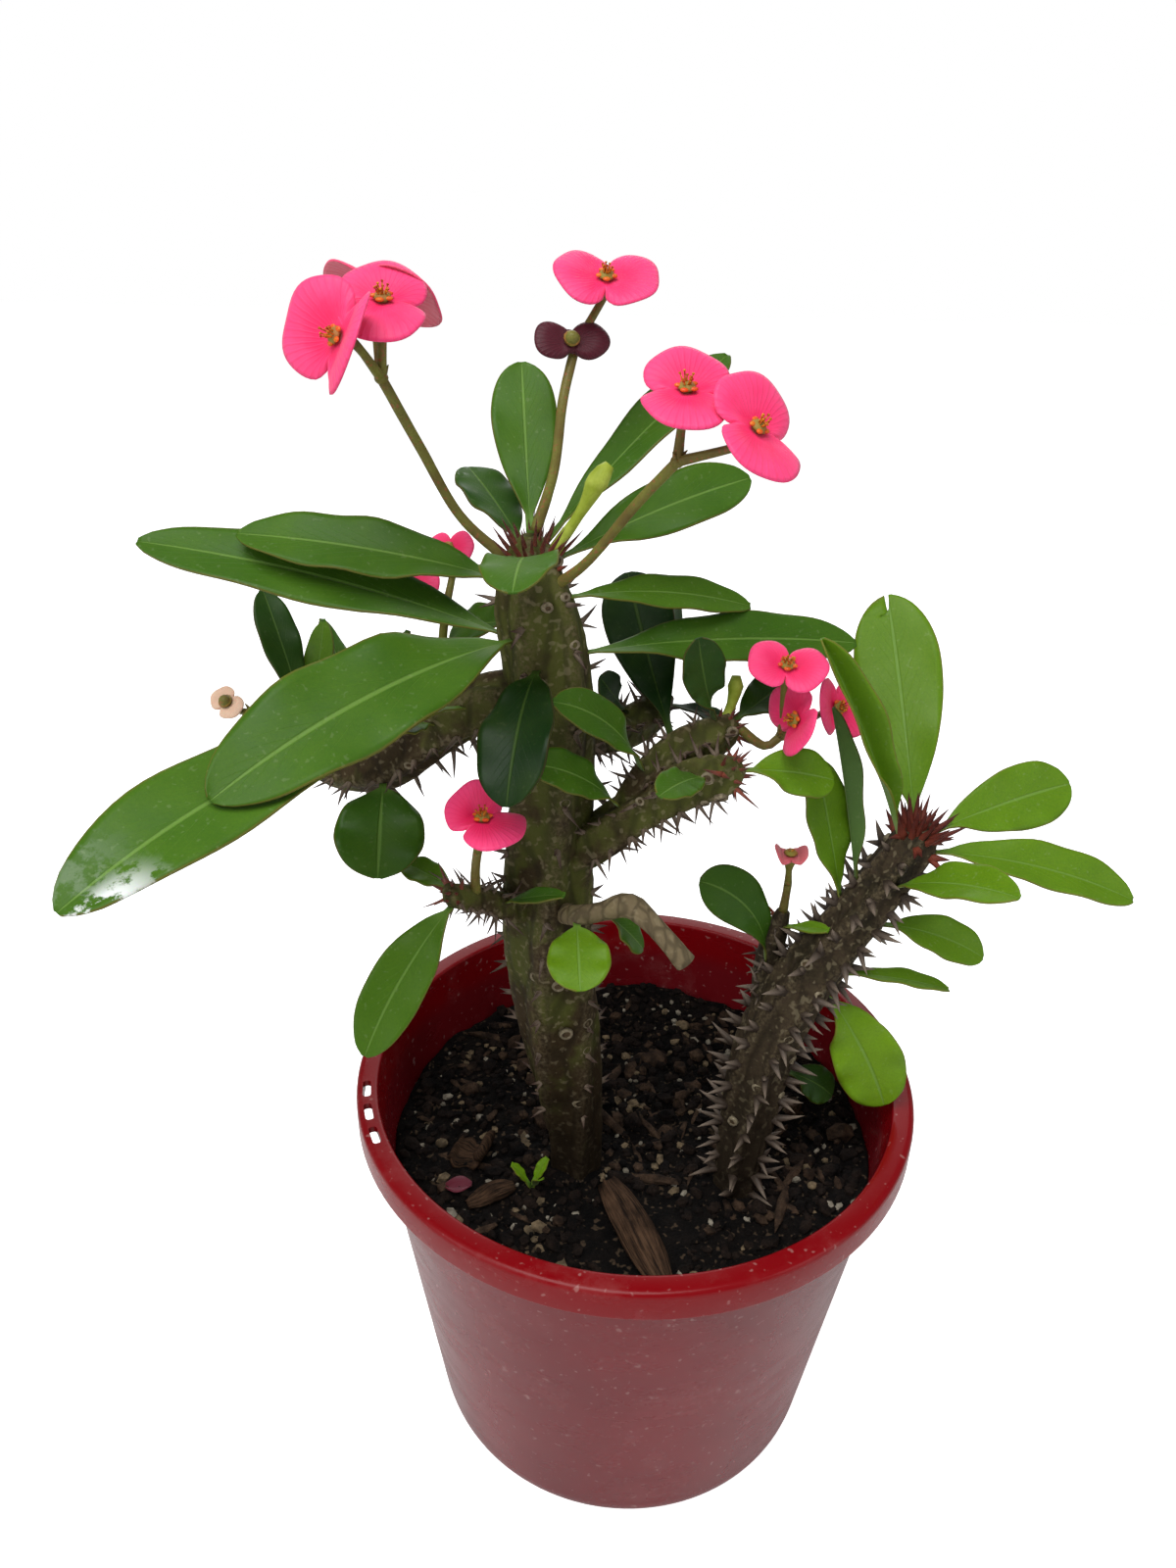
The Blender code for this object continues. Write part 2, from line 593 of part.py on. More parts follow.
def spine_cones(stem_names, tree, chance):
    """Cones for the spines of some stems, each kept only where no leaf, petal or stalk is near."""
    cones = []
    for name in stem_names:
        stem, path = STEMS[name], PATHS[name]
        if not stem.ribs:
            continue
        whole = path.walked[-1]
        for rib in range(stem.ribs):
            distance = stem.spines_from * whole + chance.uniform(0, stem.spine_step)
            while distance < whole - 1.5:
                point, tangent, side, radius, _ = path.at(distance / whole)
                angle = math.tau * rib / stem.ribs + math.radians(RIB_TWIST * distance)
                out = math.cos(angle) * side + math.sin(angle) * tangent.cross(side)
                turn = 1 if chance.random() < 0.5 else -1
                for sign in ((turn,) if chance.random() < 0.45 else (1, -1)):
                    lean = math.tan(math.radians(chance.uniform(14, 38))) * sign
                    way = (out + lean * tangent + chance.uniform(-0.3, 0.3) * tangent.cross(out)).normalized()
                    length = stem.spine_length * chance.uniform(0.65, 1.1)
                    foot = point + out * (radius * (1 + RIB_HEIGHT) - 1.6)
                    steps = [foot + way * (1.6 + (length + 1.6) * n / 5) for n in range(6)]
                    if all(tree.find(p)[2] > CLEARANCE for p in steps) and clear_of_soil(steps):
                        cones.append((foot, way, length + 1.6))
                distance += stem.spine_step * chance.uniform(0.8, 1.2)
    return cones


def clear_of_soil(points):
    return all(p.z > SOIL_TOP + 4.0 for p in points)


def add_spines(name, cones, collection):
    bm = bmesh.new()
    for foot, way, length in cones:
        place = Matrix.Translation(foot + way * length / 2) @ way.to_track_quat("Z", "Y").to_matrix().to_4x4()
        bmesh.ops.create_cone(
            bm, cap_ends=True, segments=3, radius1=SPINE_FOOT, radius2=SPINE_TIP, depth=length, matrix=place
        )
    return solid(name, bm, collection)


def near_points():
    """Points over every leaf, petal and flower stalk, for the spines to keep clear of."""
    found = []
    for leaf in LEAVES:
        for row in blade_points(leaf, 16, 6):
            found += row
    for bloom in BLOOMS.values():
        for ring in petal_rings(bloom, 0.2):
            found += ring
        centre, facing, along, other = bloom_frame(bloom)
        for angle in range(0, 360, 30):
            found.append(centre + 0.5 * bloom.radius * (along * math.cos(angle) + other * math.sin(angle)))
    for stalk in STALKS:
        for path in stalk_paths(stalk)[1]:
            for a, b in zip(path.points, path.points[1:]):
                found += [a.lerp(b, n / 4) for n in range(5)]
    tree = KDTree(len(found))
    for n, point in enumerate(found):
        tree.insert(point, n)
    tree.balance()
    return tree


def make_plant_stem(name, stem_names, tree, chance, collection):
    """One node: the stems, their small leaves, the seats of all they carry and their spines, fused."""
    pieces = bpy.data.collections.new(name + "_pieces")
    bpy.context.scene.collection.children.link(pieces)
    base = tube(name + "_base", PATHS[stem_names[0]], max(8, 2 * STEMS[stem_names[0]].ribs), 1, collection)
    for other in stem_names[1:]:
        ribs = STEMS[other].ribs
        tube(other, PATHS[other], 2 * ribs if ribs else 7, ribs, pieces)
    for leaf in LEAVES:
        if leaf.stem in stem_names:
            if leaf.columns > 2:
                boss(leaf.name + "_seat", leaf.stem, leaf.at, direction(leaf.heading, leaf.rise), pieces)
            else:
                path = PATHS[leaf.stem]
                blade(leaf, pieces, sunk=2.3 + 0.4 * path.at(leaf.at)[3])
    for stalk in STALKS:
        if stalk.stem in stem_names:
            boss(stalk.name + "_seat", stalk.stem, stalk.at, stalk_paths(stalk)[0], pieces)
    add_spines(name + "_spines", spine_cones(stem_names, tree, chance), pieces)
    return union(name, base, pieces, collection)


def make_stalk(stalk, collection):
    pieces = bpy.data.collections.new(stalk.name + "_pieces")
    bpy.context.scene.collection.children.link(pieces)
    _, paths = stalk_paths(stalk)
    base = tube(stalk.name + "_base", paths[0], STALK_SIDES, 0, collection)
    for n, path in enumerate(paths[1:]):
        tube(f"{stalk.name}_{n}", path, STALK_SIDES, 0, pieces)
    for name in stalk.blooms:
        if name in FUSED_BLOOMS:
            petals(BLOOMS[name], NECK_RADIUS - 0.6, pieces)
    return union(stalk.name, base, pieces, collection)


def inner_radius(z):
    """The pot's inside radius at a height."""
    low = BASE_RADIUS - WALL
    return low + (RIM_RADIUS - RIM_WIDTH - low) * (z - BASE_WALL) / (POT_HEIGHT - BASE_WALL)


def make_pot(collection, cutters):
    lip = RIM_RADIUS - RIM_WIDTH
    under = POT_HEIGHT - WALL - 0.6
    profile = [
        (0, BASE_WALL),
        (BASE_RADIUS - WALL, BASE_WALL),
        (lip, POT_HEIGHT - 1.0),
        (lip + 1.0, POT_HEIGHT),
        (RIM_RADIUS - RIM_ROUND, POT_HEIGHT),
        (RIM_RADIUS - 0.6, POT_HEIGHT - 0.7),
        (RIM_RADIUS, POT_HEIGHT - RIM_ROUND),
        (RIM_RADIUS, POT_HEIGHT - RIM_DROP),
        (RIM_RADIUS - WALL, POT_HEIGHT - RIM_DROP),
        (RIM_RADIUS - WALL, under),
        (inner_radius(under) + WALL, under),
        (BASE_RADIUS, 1.2),
        (BASE_RADIUS - 1.2, 0),
        (0, 0),
    ]
    bm = bmesh.new()
    line = [bm.verts.new((x, 0, z)) for x, z in profile]
    for a, b in zip(line, line[1:]):
        bm.edges.new((a, b))
    bmesh.ops.scale(bm, vec=(MM, MM, MM), verts=bm.verts)
    mesh = bpy.data.meshes.new("pot")
    bm.to_mesh(mesh)
    bm.free()
    pot = bpy.data.objects.new("pot", mesh)
    collection.objects.link(pot)
    turn = pot.modifiers.new("turn", "SCREW")
    turn.axis, turn.angle = "Z", math.tau
    turn.steps = turn.render_steps = POT_SIDES
    turn.use_merge_vertices, turn.merge_threshold = True, 0.0001
    turn.use_smooth_shade = False

    bm = bmesh.new()
    wide, long = SLOT_SIZE
    middle = (lip + WALL + RIM_RADIUS - WALL) / 2
    for heading in SLOT_HEADINGS:
        place = Matrix.Rotation(math.radians(heading), 4, "Z") @ Matrix.Translation((middle, 0, POT_HEIGHT - 2))
        bmesh.ops.create_cube(bm, size=1.0, matrix=place @ Matrix.Diagonal((wide, long, 8.0, 1.0)))
    for n in range(DRAIN_HOLES):
        heading = 360 * (n + 0.5) / DRAIN_HOLES
        place = Matrix.Rotation(math.radians(heading), 4, "Z") @ Matrix.Translation((DRAIN_CIRCLE, 0, 1))
        bmesh.ops.create_cone(
            bm, cap_ends=True, segments=8, radius1=DRAIN_RADIUS, radius2=DRAIN_RADIUS, depth=8.0, matrix=place
        )
    cutter = solid("pot_openings", bm, cutters)
    cutter.display_type, cutter.hide_render = "WIRE", True
    cut = pot.modifiers.new("openings", "BOOLEAN")
    cut.operation, cut.solver, cut.object = "DIFFERENCE", "EXACT", cutter
    return pot


def make_soil(collection, cutters, chance):
    """The fill: a block in the pot with a lumpy top, flat under the bark, with a hole for each stem."""
    pieces = bpy.data.collections.new("soil_pieces")
    bpy.context.scene.collection.children.link(pieces)
    low = BASE_WALL + GAP
    edge = inner_radius(SOIL_TOP - 1.0) - GAP
    bm = bmesh.new()
    table = []
    for ring in range(SOIL_RINGS + 1):
        share = ring / SOIL_RINGS
        row = []
        for j in range(POT_SIDES):
            angle = math.tau * j / POT_SIDES
            x, y = edge * share * math.cos(angle), edge * share * math.sin(angle)
            height = SOIL_LUMP * (math.sin(x / 9.0 + 1.1) * math.sin(y / 11.0 + 0.4) + 0.5 * math.sin((x + y) / 5.0))
            flat = min(1.0, max(0.0, min(math.hypot(x - c.x, y - c.y) - c.y_size * 0.55 - 4 for c in CHIPS) / 8.0))
            row.append(Vector((x, y, SOIL_TOP + height * flat * (1.0 if share < 1 else 0.0) - (share == 1))))
        table.append(row)
    table = table[1:]
    bottom = [
        Vector(((inner_radius(low) - GAP) * math.cos(math.tau * j / POT_SIDES),
                (inner_radius(low) - GAP) * math.sin(math.tau * j / POT_SIDES), low))
        for j in range(POT_SIDES)
    ]
    add_surface(bm, [*table, bottom], closed=True)
    base = solid("soil_base", bm, collection)

    bm = bmesh.new()
    made = 0
    while made < GRAINS:
        r, heading = 80 * math.sqrt(chance.random()), chance.uniform(0, 360)
        x, y = direction(heading, 0).xy * r
        clear = [math.hypot(x - s.x, y - s.y) > s.r + 9 for s in (STEMS["trunk"].knots[0], STEMS["second_stem"].knots[0])]
        if not all(clear) or min(math.hypot(x - c.x, y - c.y) - c.y_size * 0.6 for c in CHIPS) < 6:
            continue
        size = chance.uniform(*GRAIN_SIZE)
        place = Matrix.Translation((x, y, SOIL_TOP + 0.2)) @ Matrix.Rotation(chance.uniform(0, 3), 4, "Z")
        place = place @ Matrix.Diagonal((size * 1.3, size, size * 0.9 + SOIL_LUMP * 0.6, 1.0))
        bmesh.ops.create_icosphere(bm, subdivisions=1, radius=1.0, matrix=place)
        made += 1
    solid("grains", bm, pieces)
    soil = union("soil", base, pieces, collection)

    bm = bmesh.new()
    for knot in (STEMS["trunk"].knots[1], STEMS["second_stem"].knots[1]):
        floor = SOIL_TOP - ROOT_DEPTH - GAP
        place = Matrix.Translation((knot.x, knot.y, floor + 30))
        size = knot.r * (1 + RIB_HEIGHT) + 0.5
        bmesh.ops.create_cone(bm, cap_ends=True, segments=20, radius1=size, radius2=size, depth=60, matrix=place)
    cutter = solid("soil_holes", bm, cutters)
    cutter.display_type, cutter.hide_render = "WIRE", True
    cut = soil.modifiers.new("holes", "BOOLEAN")
    cut.operation, cut.solver, cut.object = "DIFFERENCE", "EXACT", cutter
    return soil


def make_chip(chip, collection):
    """A piece of bark lying on the soil: a slab with a flat underside and ragged ends."""
    chance = random.Random(chip.name)
    bm = bmesh.new()
    bmesh.ops.create_cube(bm, size=1.0)
    long_edges = [e for e in bm.edges if abs(e.verts[0].co.y - e.verts[1].co.y) > 0.5]
    bmesh.ops.subdivide_edges(bm, edges=long_edges, cuts=3)
    for vert in bm.verts:
        share = abs(vert.co.y) * 2
        vert.co.x *= chip.x_size * (1 - 0.35 * share**2) * chance.uniform(0.85, 1.15)
        vert.co.y *= chip.y_size * chance.uniform(0.92, 1.08)
        top = vert.co.z > 0
        vert.co.z = chip.z_size * (1 - 0.4 * share**2) * chance.uniform(0.8, 1.1) if top else 0.0
        if top:
            vert.co.x *= 0.7
    place = Matrix.Translation((chip.x, chip.y, SOIL_TOP + GAP)) @ Matrix.Rotation(math.radians(chip.heading - 90), 4, "Z")
    bmesh.ops.transform(bm, matrix=place, verts=bm.verts)
    bmesh.ops.triangulate(bm, faces=bm.faces)
    return solid(chip.name, bm, collection)


def material(name, colour, roughness, coat=0.0):
    found = bpy.data.materials.get(name) or bpy.data.materials.new(name)
    found.use_nodes = True
    shader = found.node_tree.nodes["Principled BSDF"]
    shader.inputs["Base Color"].default_value = (*colour, 1.0)
    shader.inputs["Roughness"].default_value = roughness
    shader.inputs["Metallic"].default_value = 0.0
    shader.inputs["Coat Weight"].default_value = coat
    found.diffuse_color = (*colour, 1.0)
    return found


def main():
    for obj in list(bpy.data.objects):
        bpy.data.objects.remove(obj, do_unlink=True)
    scene = bpy.context.scene
    plant = bpy.data.collections.new("crown_of_thorns")
    cutters = bpy.data.collections.new("cutters")
    scene.collection.children.link(plant)
    scene.collection.children.link(cutters)
    chance = random.Random(7)

    tree = near_points()
    made = {
        "pot": make_pot(plant, cutters),
        "soil": make_soil(plant, cutters, chance),
        "trunk": make_plant_stem("trunk", [n for n in STEMS if not n.startswith("second")], tree, chance, plant),
        "second_stem": make_plant_stem("second_stem", ["second_stem", "second_side"], tree, chance, plant),
    }
    for chip in CHIPS:
        made[chip.name] = make_chip(chip, plant)
    for leaf in LEAVES:
        if leaf.columns > 2:
            made[leaf.name] = blade(leaf, plant)
    for stalk in STALKS:
        made[stalk.name] = make_stalk(stalk, plant)
        for name in stalk.blooms:
            if name not in FUSED_BLOOMS:
                made[name] = petals(BLOOMS[name], PETAL_HOLE, plant)

    for name, obj in made.items():
        kind = next((k for k in COLOURS if name.startswith(k)), "leaf")
        colour, roughness, coat = COLOURS[kind]
        obj.data.materials.clear()
        obj.data.materials.append(material(kind, colour, roughness, coat))
    for left in [c for c in bpy.data.collections if c.name.endswith("_pieces")]:
        bpy.data.collections.remove(left)


main()
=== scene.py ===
"""Looks of the crown of thorns plant: its stems, thorns, leaves, flowers, soil and red pot.

Sizes are in millimetres and are turned into metres by MM. A heading of 0 points along +X and 90 along +Y,
and a rise of 0 is level and 90 is straight up. Colours of three numbers are as picked on a screen.
"""

import math
import random
from collections import namedtuple

import bmesh
import bpy
from mathutils import Matrix, Vector, noise
from mathutils.kdtree import KDTree


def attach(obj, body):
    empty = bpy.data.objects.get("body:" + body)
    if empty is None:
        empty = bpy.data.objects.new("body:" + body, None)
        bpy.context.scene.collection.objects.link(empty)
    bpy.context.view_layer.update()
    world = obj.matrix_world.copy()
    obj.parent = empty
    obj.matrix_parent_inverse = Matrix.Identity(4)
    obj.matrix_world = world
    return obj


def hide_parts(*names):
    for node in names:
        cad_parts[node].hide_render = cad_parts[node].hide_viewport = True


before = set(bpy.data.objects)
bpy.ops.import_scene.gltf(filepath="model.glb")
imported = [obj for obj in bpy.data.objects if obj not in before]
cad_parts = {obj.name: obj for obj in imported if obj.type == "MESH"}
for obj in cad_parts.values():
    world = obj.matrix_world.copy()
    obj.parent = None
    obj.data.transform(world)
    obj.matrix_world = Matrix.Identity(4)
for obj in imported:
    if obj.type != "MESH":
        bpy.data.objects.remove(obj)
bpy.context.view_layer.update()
scene = bpy.context.scene

MM = 0.001
GAP = 0.3
NOISE_SEED = 7
STRIP = (-1, -0.5, 0, 0.5, 1)

# Pot
RIM_RADIUS = 100.0
POT_HEIGHT = 148.0
BASE_RADIUS = 74.0
WALL = 1.8
BASE_WALL = 3.0
RIM_WIDTH = 7.5
RIM_DROP = 11.0
RIM_ROUND = 2.2
SLOT_SIZE = (2.8, 8.0)
SLOT_ROUND = 1.0
SLOT_HEADINGS = (189.5, 196.5, 203.5)
DRAIN_HOLES = 8
DRAIN_RADIUS = 4.5
DRAIN_CIRCLE = 56.0
POT_SIDES = 128
CRISP_ANGLE = 35.0

# Soil
SOIL_TOP = 117.5
SOIL_LUMP = 1.5
SOIL_RINGS = 70
SOIL_SIDES = 160
SOIL_WALL_GAP = 0.25
CRUMB_EDGE = 85.0
CHUNK_EDGE = 80.0

# Stems
STEM_STEP = 2.5
SEAT_STEP = 10.0
SEAT_HEIGHT = 1.0
REACH_STEP = 0.4
REACH_LIMIT = 60.0
ROOT_DEPTH = 34.0
STEM_SIDES = 40
SHOOT_SIDES = 20
RIB_HEIGHT = 0.10
RIB_TWIST = 0.55
STEM_ROUGHNESS = 0.028
TWIG_ROUGHNESS = 0.07

# Thorns
THORN_RINGS = 5
THORN_CORNERS = 5
THORN_CLEARANCE = 1.3
TIP_CLEARANCE = 0.35
GOLDEN_ANGLE = 2.399963
SCAR_CHANCE = 0.1

# Leaves
BLADE_THICKNESS = 0.6
LEAF_ROWS = 26
LEAF_COLUMNS = 12
MIDRIB_STEPS = 6
TIP_CROWDING = 1.35
PETIOLE = 1.15
TIP_FULLNESS = 0.55
TIP_SHARE = 0.9985
BITE_START = 0.9

# Flowers
STALK_RADIUS = 1.35
STALK_SIDES = 14
STALK_ROUGHNESS = 0.03
STALK_SUNK = 2.0
CUP_RADIUS = 3.4
CUP_DROP = 0.75
CUP_STEM = 5.0
NECK_RADIUS = 1.4
NECK = ((-1.6, 1.0), (-0.6, NECK_RADIUS), (0.9, NECK_RADIUS), (1.1, NECK_RADIUS + 0.9), (2.0, NECK_RADIUS))
PETAL_THICKNESS = 0.5
PETAL_HOLE = 1.3
PETAL_RINGS = 12
PETAL_SPOKES = 72
PETAL_WAIST = 0.3
PETAL_HINGE = 2.8
GLANDS = 5
STAMENS = 9

# Camera and light
LENS = 27.0
SENSOR = 36.0
CAMERA_PLACE = (-0.019, -0.3344, 0.437)
CAMERA_TILT = 62.5
CAMERA_ROLL = 1.22
FLOOR_GLOW = 0.78
SKY_SEEN = 1.0
SKY_LIGHT = 0.26
WHITE = (1.0, 1.0, 1.0, 1.0)
SHADED_LEAF = (0.11, 0.13, 0.06, 1.0)

Stem = namedtuple("Stem", "ribs knots")
# The field dark is how much painted shade darkens a leaf, partly also its own deeper green.
Leaf = namedtuple(
    "Leaf",
    "name stem at heading rise length width droop roll wide fold node fresh dark chalk",
    defaults=(None, 0.0, 0.0),
)
Stalk = namedtuple("Stalk", "name stem at knots blooms")
Bloom = namedtuple("Bloom", "name x y z heading rise spin radius full lift_a lift_b")
Chip = namedtuple("Chip", "name x y heading x_size y_size z_size")

# Each stem: how many ribs it has, then its knots as (x, y, z, radius)
STEMS = {
    "trunk": Stem(5, [
        (-21, -18, SOIL_TOP - ROOT_DEPTH, 8.6), (-21, -18, 127, 8.8), (-23, -18, 146, 10.5),
        (-26, -18, 172, 12.6), (-29, -18, 200, 13.6), (-31, -18, 230, 13.6), (-31, -18, 262, 12.6),
        (-30, -18, 290, 12.0), (-32, -18, 314, 12.0), (-35, -18, 330, 10.5), (-36, -17, 343, 7.0),
        (-36, -17, 348, 3.0),
    ]),
    "branch_right": Stem(5, [
        (-29, -18, 246, 7.6), (-18, -20, 253, 7.4), (-3, -22, 266, 6.8), (10, -25, 276, 6.8),
        (21, -28, 282, 6.0), (25, -29, 285, 3.0),
    ]),
    "branch_fork": Stem(5, [
        (-8, -22, 262, 5.5), (-1, -17, 273, 6.0), (9, -13, 282, 6.4), (20, -11, 287, 5.8), (25, -10, 291, 3.0),
    ]),
    "branch_back": Stem(5, [
        (-30, -18, 285, 7.5), (-20, -6, 284, 7.2), (-9, 6, 280, 6.6), (1, 15, 282, 5.8), (6, 19, 287, 3.0),
    ]),
    "branch_left": Stem(5, [
        (-31, -18, 298, 8.0), (-47, -16, 298, 8.2), (-64, -13, 288, 7.6), (-82, -7, 272, 7.4),
        (-99, 0, 268, 7.0), (-107, 1, 276, 6.0), (-108, 1, 284, 3.0),
    ]),
    "branch_low": Stem(4, [
        (-31, -19, 229, 5.2), (-42, -27, 233, 4.6), (-51, -35, 241, 4.2), (-57, -41, 246, 4.0),
        (-59, -44, 250, 2.2),
    ]),
    "twig_dry": Stem(0, [
        (-29, -20, 228, 3.6), (-22, -35, 236, 3.2), (-14, -40, 241, 3.0), (-6, -43, 245, 3.8),
        (2, -47, 240, 2.9), (11, -50, 230, 3.3),
    ]),
    "second_stem": Stem(6, [
        (37, -27, SOIL_TOP - ROOT_DEPTH, 7.6), (37, -27, 125, 7.8), (39, -24, 148, 9.4), (43, -20, 174, 9.8),
        (51, -17, 194, 9.8), (61, -14, 210, 9.2), (71, -12, 225, 8.4), (79, -10, 238, 7.8), (86, -9, 250, 6.6),
        (88, -8, 256, 3.0),
    ]),
    "second_side": Stem(4, [
        (42, -20, 182, 4.4), (42, -11, 198, 4.0), (45, -7, 212, 3.8), (47, -6, 220, 2.2),
    ]),
    "bud_top": Stem(0, [
        (-34, -18, 338, 2.2), (-23, -16, 354, 1.5), (-18, -14, 363, 3.0), (-15, -13, 367, 1.4),
    ]),
    "bud_side": Stem(0, [
        (21, -11, 287, 2.4), (24, -7, 295, 1.5), (25, -5, 300, 2.5), (25, -4, 303, 1.3),
    ]),
}

# Each leaf, in the order of Leaf's fields. Those with node 1 stand for a node of the solids. The last three, where
# given, say how fresh the leaf is, how much painted shade darkens it (partly its own deeper green), and how chalky
# it is.
LEAVES = [
    Leaf("leaf_" + name, *row)
    for name, *row in (
        ("top_upright", "trunk", 0.985, 97, 47, 50, 19, -4, -3, 0.66, 8, 1, 0.22),
        ("top_back", "trunk", 0.975, 119, 25, 36, 17, 10, 1, 0.62, 8, 1, 0.05, 0.35, 0.5),
        ("top_right_far", "trunk", 0.975, 39, 40, 76, 17, 12, 15, 0.66, 10, 1),
        ("top_right", "trunk", 0.96, 23, 24, 60, 18, 14, 45, 0.66, 10, 1),
        ("top_front", "trunk", 0.955, 267, 35, 40, 20, 55, 6, 0.62, 8, 1),
        ("top_left", "trunk", 0.945, 172, 12, 75, 20, 12, -34, 0.55, 10, 1),
        ("left_long", "trunk", 0.875, 173, 18, 106, 22, 14, -31, 0.56, 10, 1),
        ("left_big", "trunk", 0.895, 223, 1, 92, 31, 25, -30, 0.55, 9, 1),
        ("left_lowest", "branch_left", 0.2, 230, 13, 125, 29, 35, -16, 0.66, 9, 1, 0.25, 0.0, 1.0),
        ("left_under", "branch_left", 0.24, 192, -16, 106, 17, 25, 38, 0.6, 14, 1, 0.1, 0.7),
        ("front_dark", "trunk", 0.87, 261, -2, 44, 21, 60, 13, 0.6, 8, 1, 0.0, 0.85),
        ("low_round", "branch_left", 0.62, 274, -23, 31, 27, 15, -7, 0.56, 6, 1, 0.2, 0.35),
        ("low_left", "branch_low", 0.85, 218, -40, 50, 18, 25, -39, 0.55, 8, 1, 0.35, 0.1),
        ("low_small", "branch_low", 0.8, 143, 8, 20, 10, 10, -14, 0.6, 10, 0, 0.6, 0.2),
        ("low_disc", "twig_dry", 0.3, 274, -12, 22, 19, 20, 2, 0.56, 4, 1, 0.8),
        ("low_behind", "twig_dry", 0.45, 30, -44, 20, 10, 15, 46, 0.6, 8, 0),
        ("low_narrow", "branch_low", 0.45, 320, 33, 24, 6, 10, 32, 0.5, 20, 0),
        ("back_left_a", "branch_left", 0.97, 123, 53, 40, 13, 10, 2, 0.6, 8, 1, 0.1, 0.55),
        ("back_left_b", "branch_left", 0.95, 85, 44, 30, 10, -10, -10, 0.6, 12, 0, 0.6, 0.2),
        ("back_left_c", "branch_left", 0.6, 122, 22, 50, 11, -20, 27, 0.6, 10, 0),
        ("left_mid", "branch_left", 0.68, 54, 59, 34, 10, -10, -15, 0.6, 12, 0),
        ("trunk_back", "trunk", 0.905, 133, -14, 30, 15, 10, -42, 0.6, 8, 0),
        ("left_small", "branch_left", 0.4, 105, 2, 18, 14, 5, 28, 0.58, 8, 0),
        ("left_yellow", "branch_left", 0.35, 249, 23, 24, 9, 10, -18, 0.6, 10, 0),
        ("right_upright", "branch_fork", 0.56, 108, 35, 56, 23, -12, -21, 0.7, 9, 1, 0.0, 0.7),
        ("right_sliver", "branch_back", 0.9, 79, 40, 44, 12, 30, 79, 0.7, 10, 0, 0.0, 0.7),
        ("right_long", "trunk", 0.865, 16, 4, 84, 18, 14, 38, 0.6, 10, 1),
        ("right_long_back", "trunk", 0.93, 21, 2, 56, 12, 22, 39, 0.58, 10, 1, 0.35),
        ("right_mid", "branch_fork", 0.86, 225, 66, 28, 14, -10, -113, 0.64, 12, 1, 0.05, 0.55),
        ("right_forward", "branch_fork", 0.3, 223, 61, 46, 13, 40, -64, 0.6, 10, 1),
        ("right_low", "branch_right", 0.42, 220, 50, 40, 13, 30, -55, 0.6, 10, 1),
        ("right_small", "branch_right", 0.86, 239, 22, 26, 11, 20, -24, 0.55, 8, 0),
        ("right_yellow", "branch_right", 0.95, 21, -8, 30, 16, 15, 45, 0.62, 8, 1, 0.75),
        ("right_shade", "branch_fork", 0.96, 50, 8, 28, 14, 0, 33, 0.6, 10, 0, 0.2, 0.6),
        ("back_small", "branch_back", 0.7, 241, 45, 22, 11, 0, -90, 0.6, 10, 0, 0.0, 0.7),
        ("right_edge", "branch_back", 0.92, 29, -20, 34, 9, 15, 23, 0.6, 10, 0, 0.0, 0.8),
        ("second_tall", "second_stem", 0.965, 97, 54, 74, 28, 8, -20, 0.64, 6, 1),
        ("second_folded", "second_stem", 0.93, 180, 69, 70, 19, 10, -61, 0.6, 58, 1),
        ("second_edge", "second_stem", 0.8, 163, 79, 58, 13, 5, 29, 0.6, 50, 1, 0.3, 0.35),
        ("second_inner", "second_stem", 0.76, 150, 76, 46, 16, 5, -33, 0.62, 10, 0),
        ("second_broad", "second_stem", 0.965, 23, 14, 52, 22, 12, 48, 0.66, 8, 1),
        ("second_thin", "second_stem", 0.94, 357, 0, 66, 18, 25, 32, 0.6, 20, 1),
        ("second_front", "second_stem", 0.85, 305, 36, 44, 15, 25, 32, 0.58, 20, 1),
        ("second_low", "second_stem", 0.78, 0, -5, 36, 15, 30, 38, 0.62, 10, 1),
        ("second_dark", "second_stem", 0.66, 3, -4, 36, 9, 15, 5, 0.6, 20, 0),
        ("second_hanging", "second_stem", 0.66, 349, -51, 48, 24, 20, 72, 0.62, 6, 1, 1.0),
        ("second_shade", "second_stem", 0.45, 8, -21, 20, 13, 30, 53, 0.6, 6, 0, 0.1, 0.7),
        ("second_curled", "second_side", 0.36, 184, 86, 40, 18, 70, -61, 0.7, 8, 1, 0.2, 0.35),
        ("second_bud", "second_side", 0.85, 319, 25, 15, 5, 10, 29, 0.6, 20, 0),
    )
]

# Each pair of petals, in the order of Bloom's fields
BLOOMS = {
    name: Bloom("bracts_" + name, *row)
    for name, *row in (
        ("left_a", -79, -46, 402, 222, 24, 350, 17, 0.3, 36, 26),
        ("left_b", -70, -36, 409, 284, 68, 262, 14.5, 0.3, 19, -3),
        ("left_c", -73, -17, 409, 60, 46, 5, 16.5, 0.35, 8, 4),
        ("top", -17, 4, 412, 276, 58, 352, 14.5, 0.3, 16, 14),
        ("right_a", 2, -48, 392, 278, 68, 258, 14.5, 0.3, 22, 3),
        ("right_b", 18, -56, 385, 318, 50, 240, 15.5, 0.3, 24, 8),
        ("back_a", -63, 16, 334, 245, 39, 14, 8.5, 0.3, -3, 7),
        ("back_b", -74, 10, 324, 237, 44, 21, 9.0, 0.3, 9, -7),
        ("low", -48, -50, 277, 262, 82, 322, 13.5, 0.3, 62, 4),
        ("side_a", 42, -18, 295, 205, 18, 330, 12.0, 0.3, 34, 26),
        ("side_b", 60, 10, 287, 300, 30, 345, 13.0, 0.3, 40, 20),
        ("side_c", 38, -16, 311, 268, 62, 350, 12.0, 0.3, 16, 14),
        ("pale", 46, -12, 245, 274, 89, 353, 7.0, 0.3, 57, 50),
        ("dried", -26, -1, 397, 283, 34, 1, 10.5, 1.0, 14, 4),
        ("faded", -133, 4, 287, 252, 48, 328, 6.0, 0.3, 22, -3),
    )
}

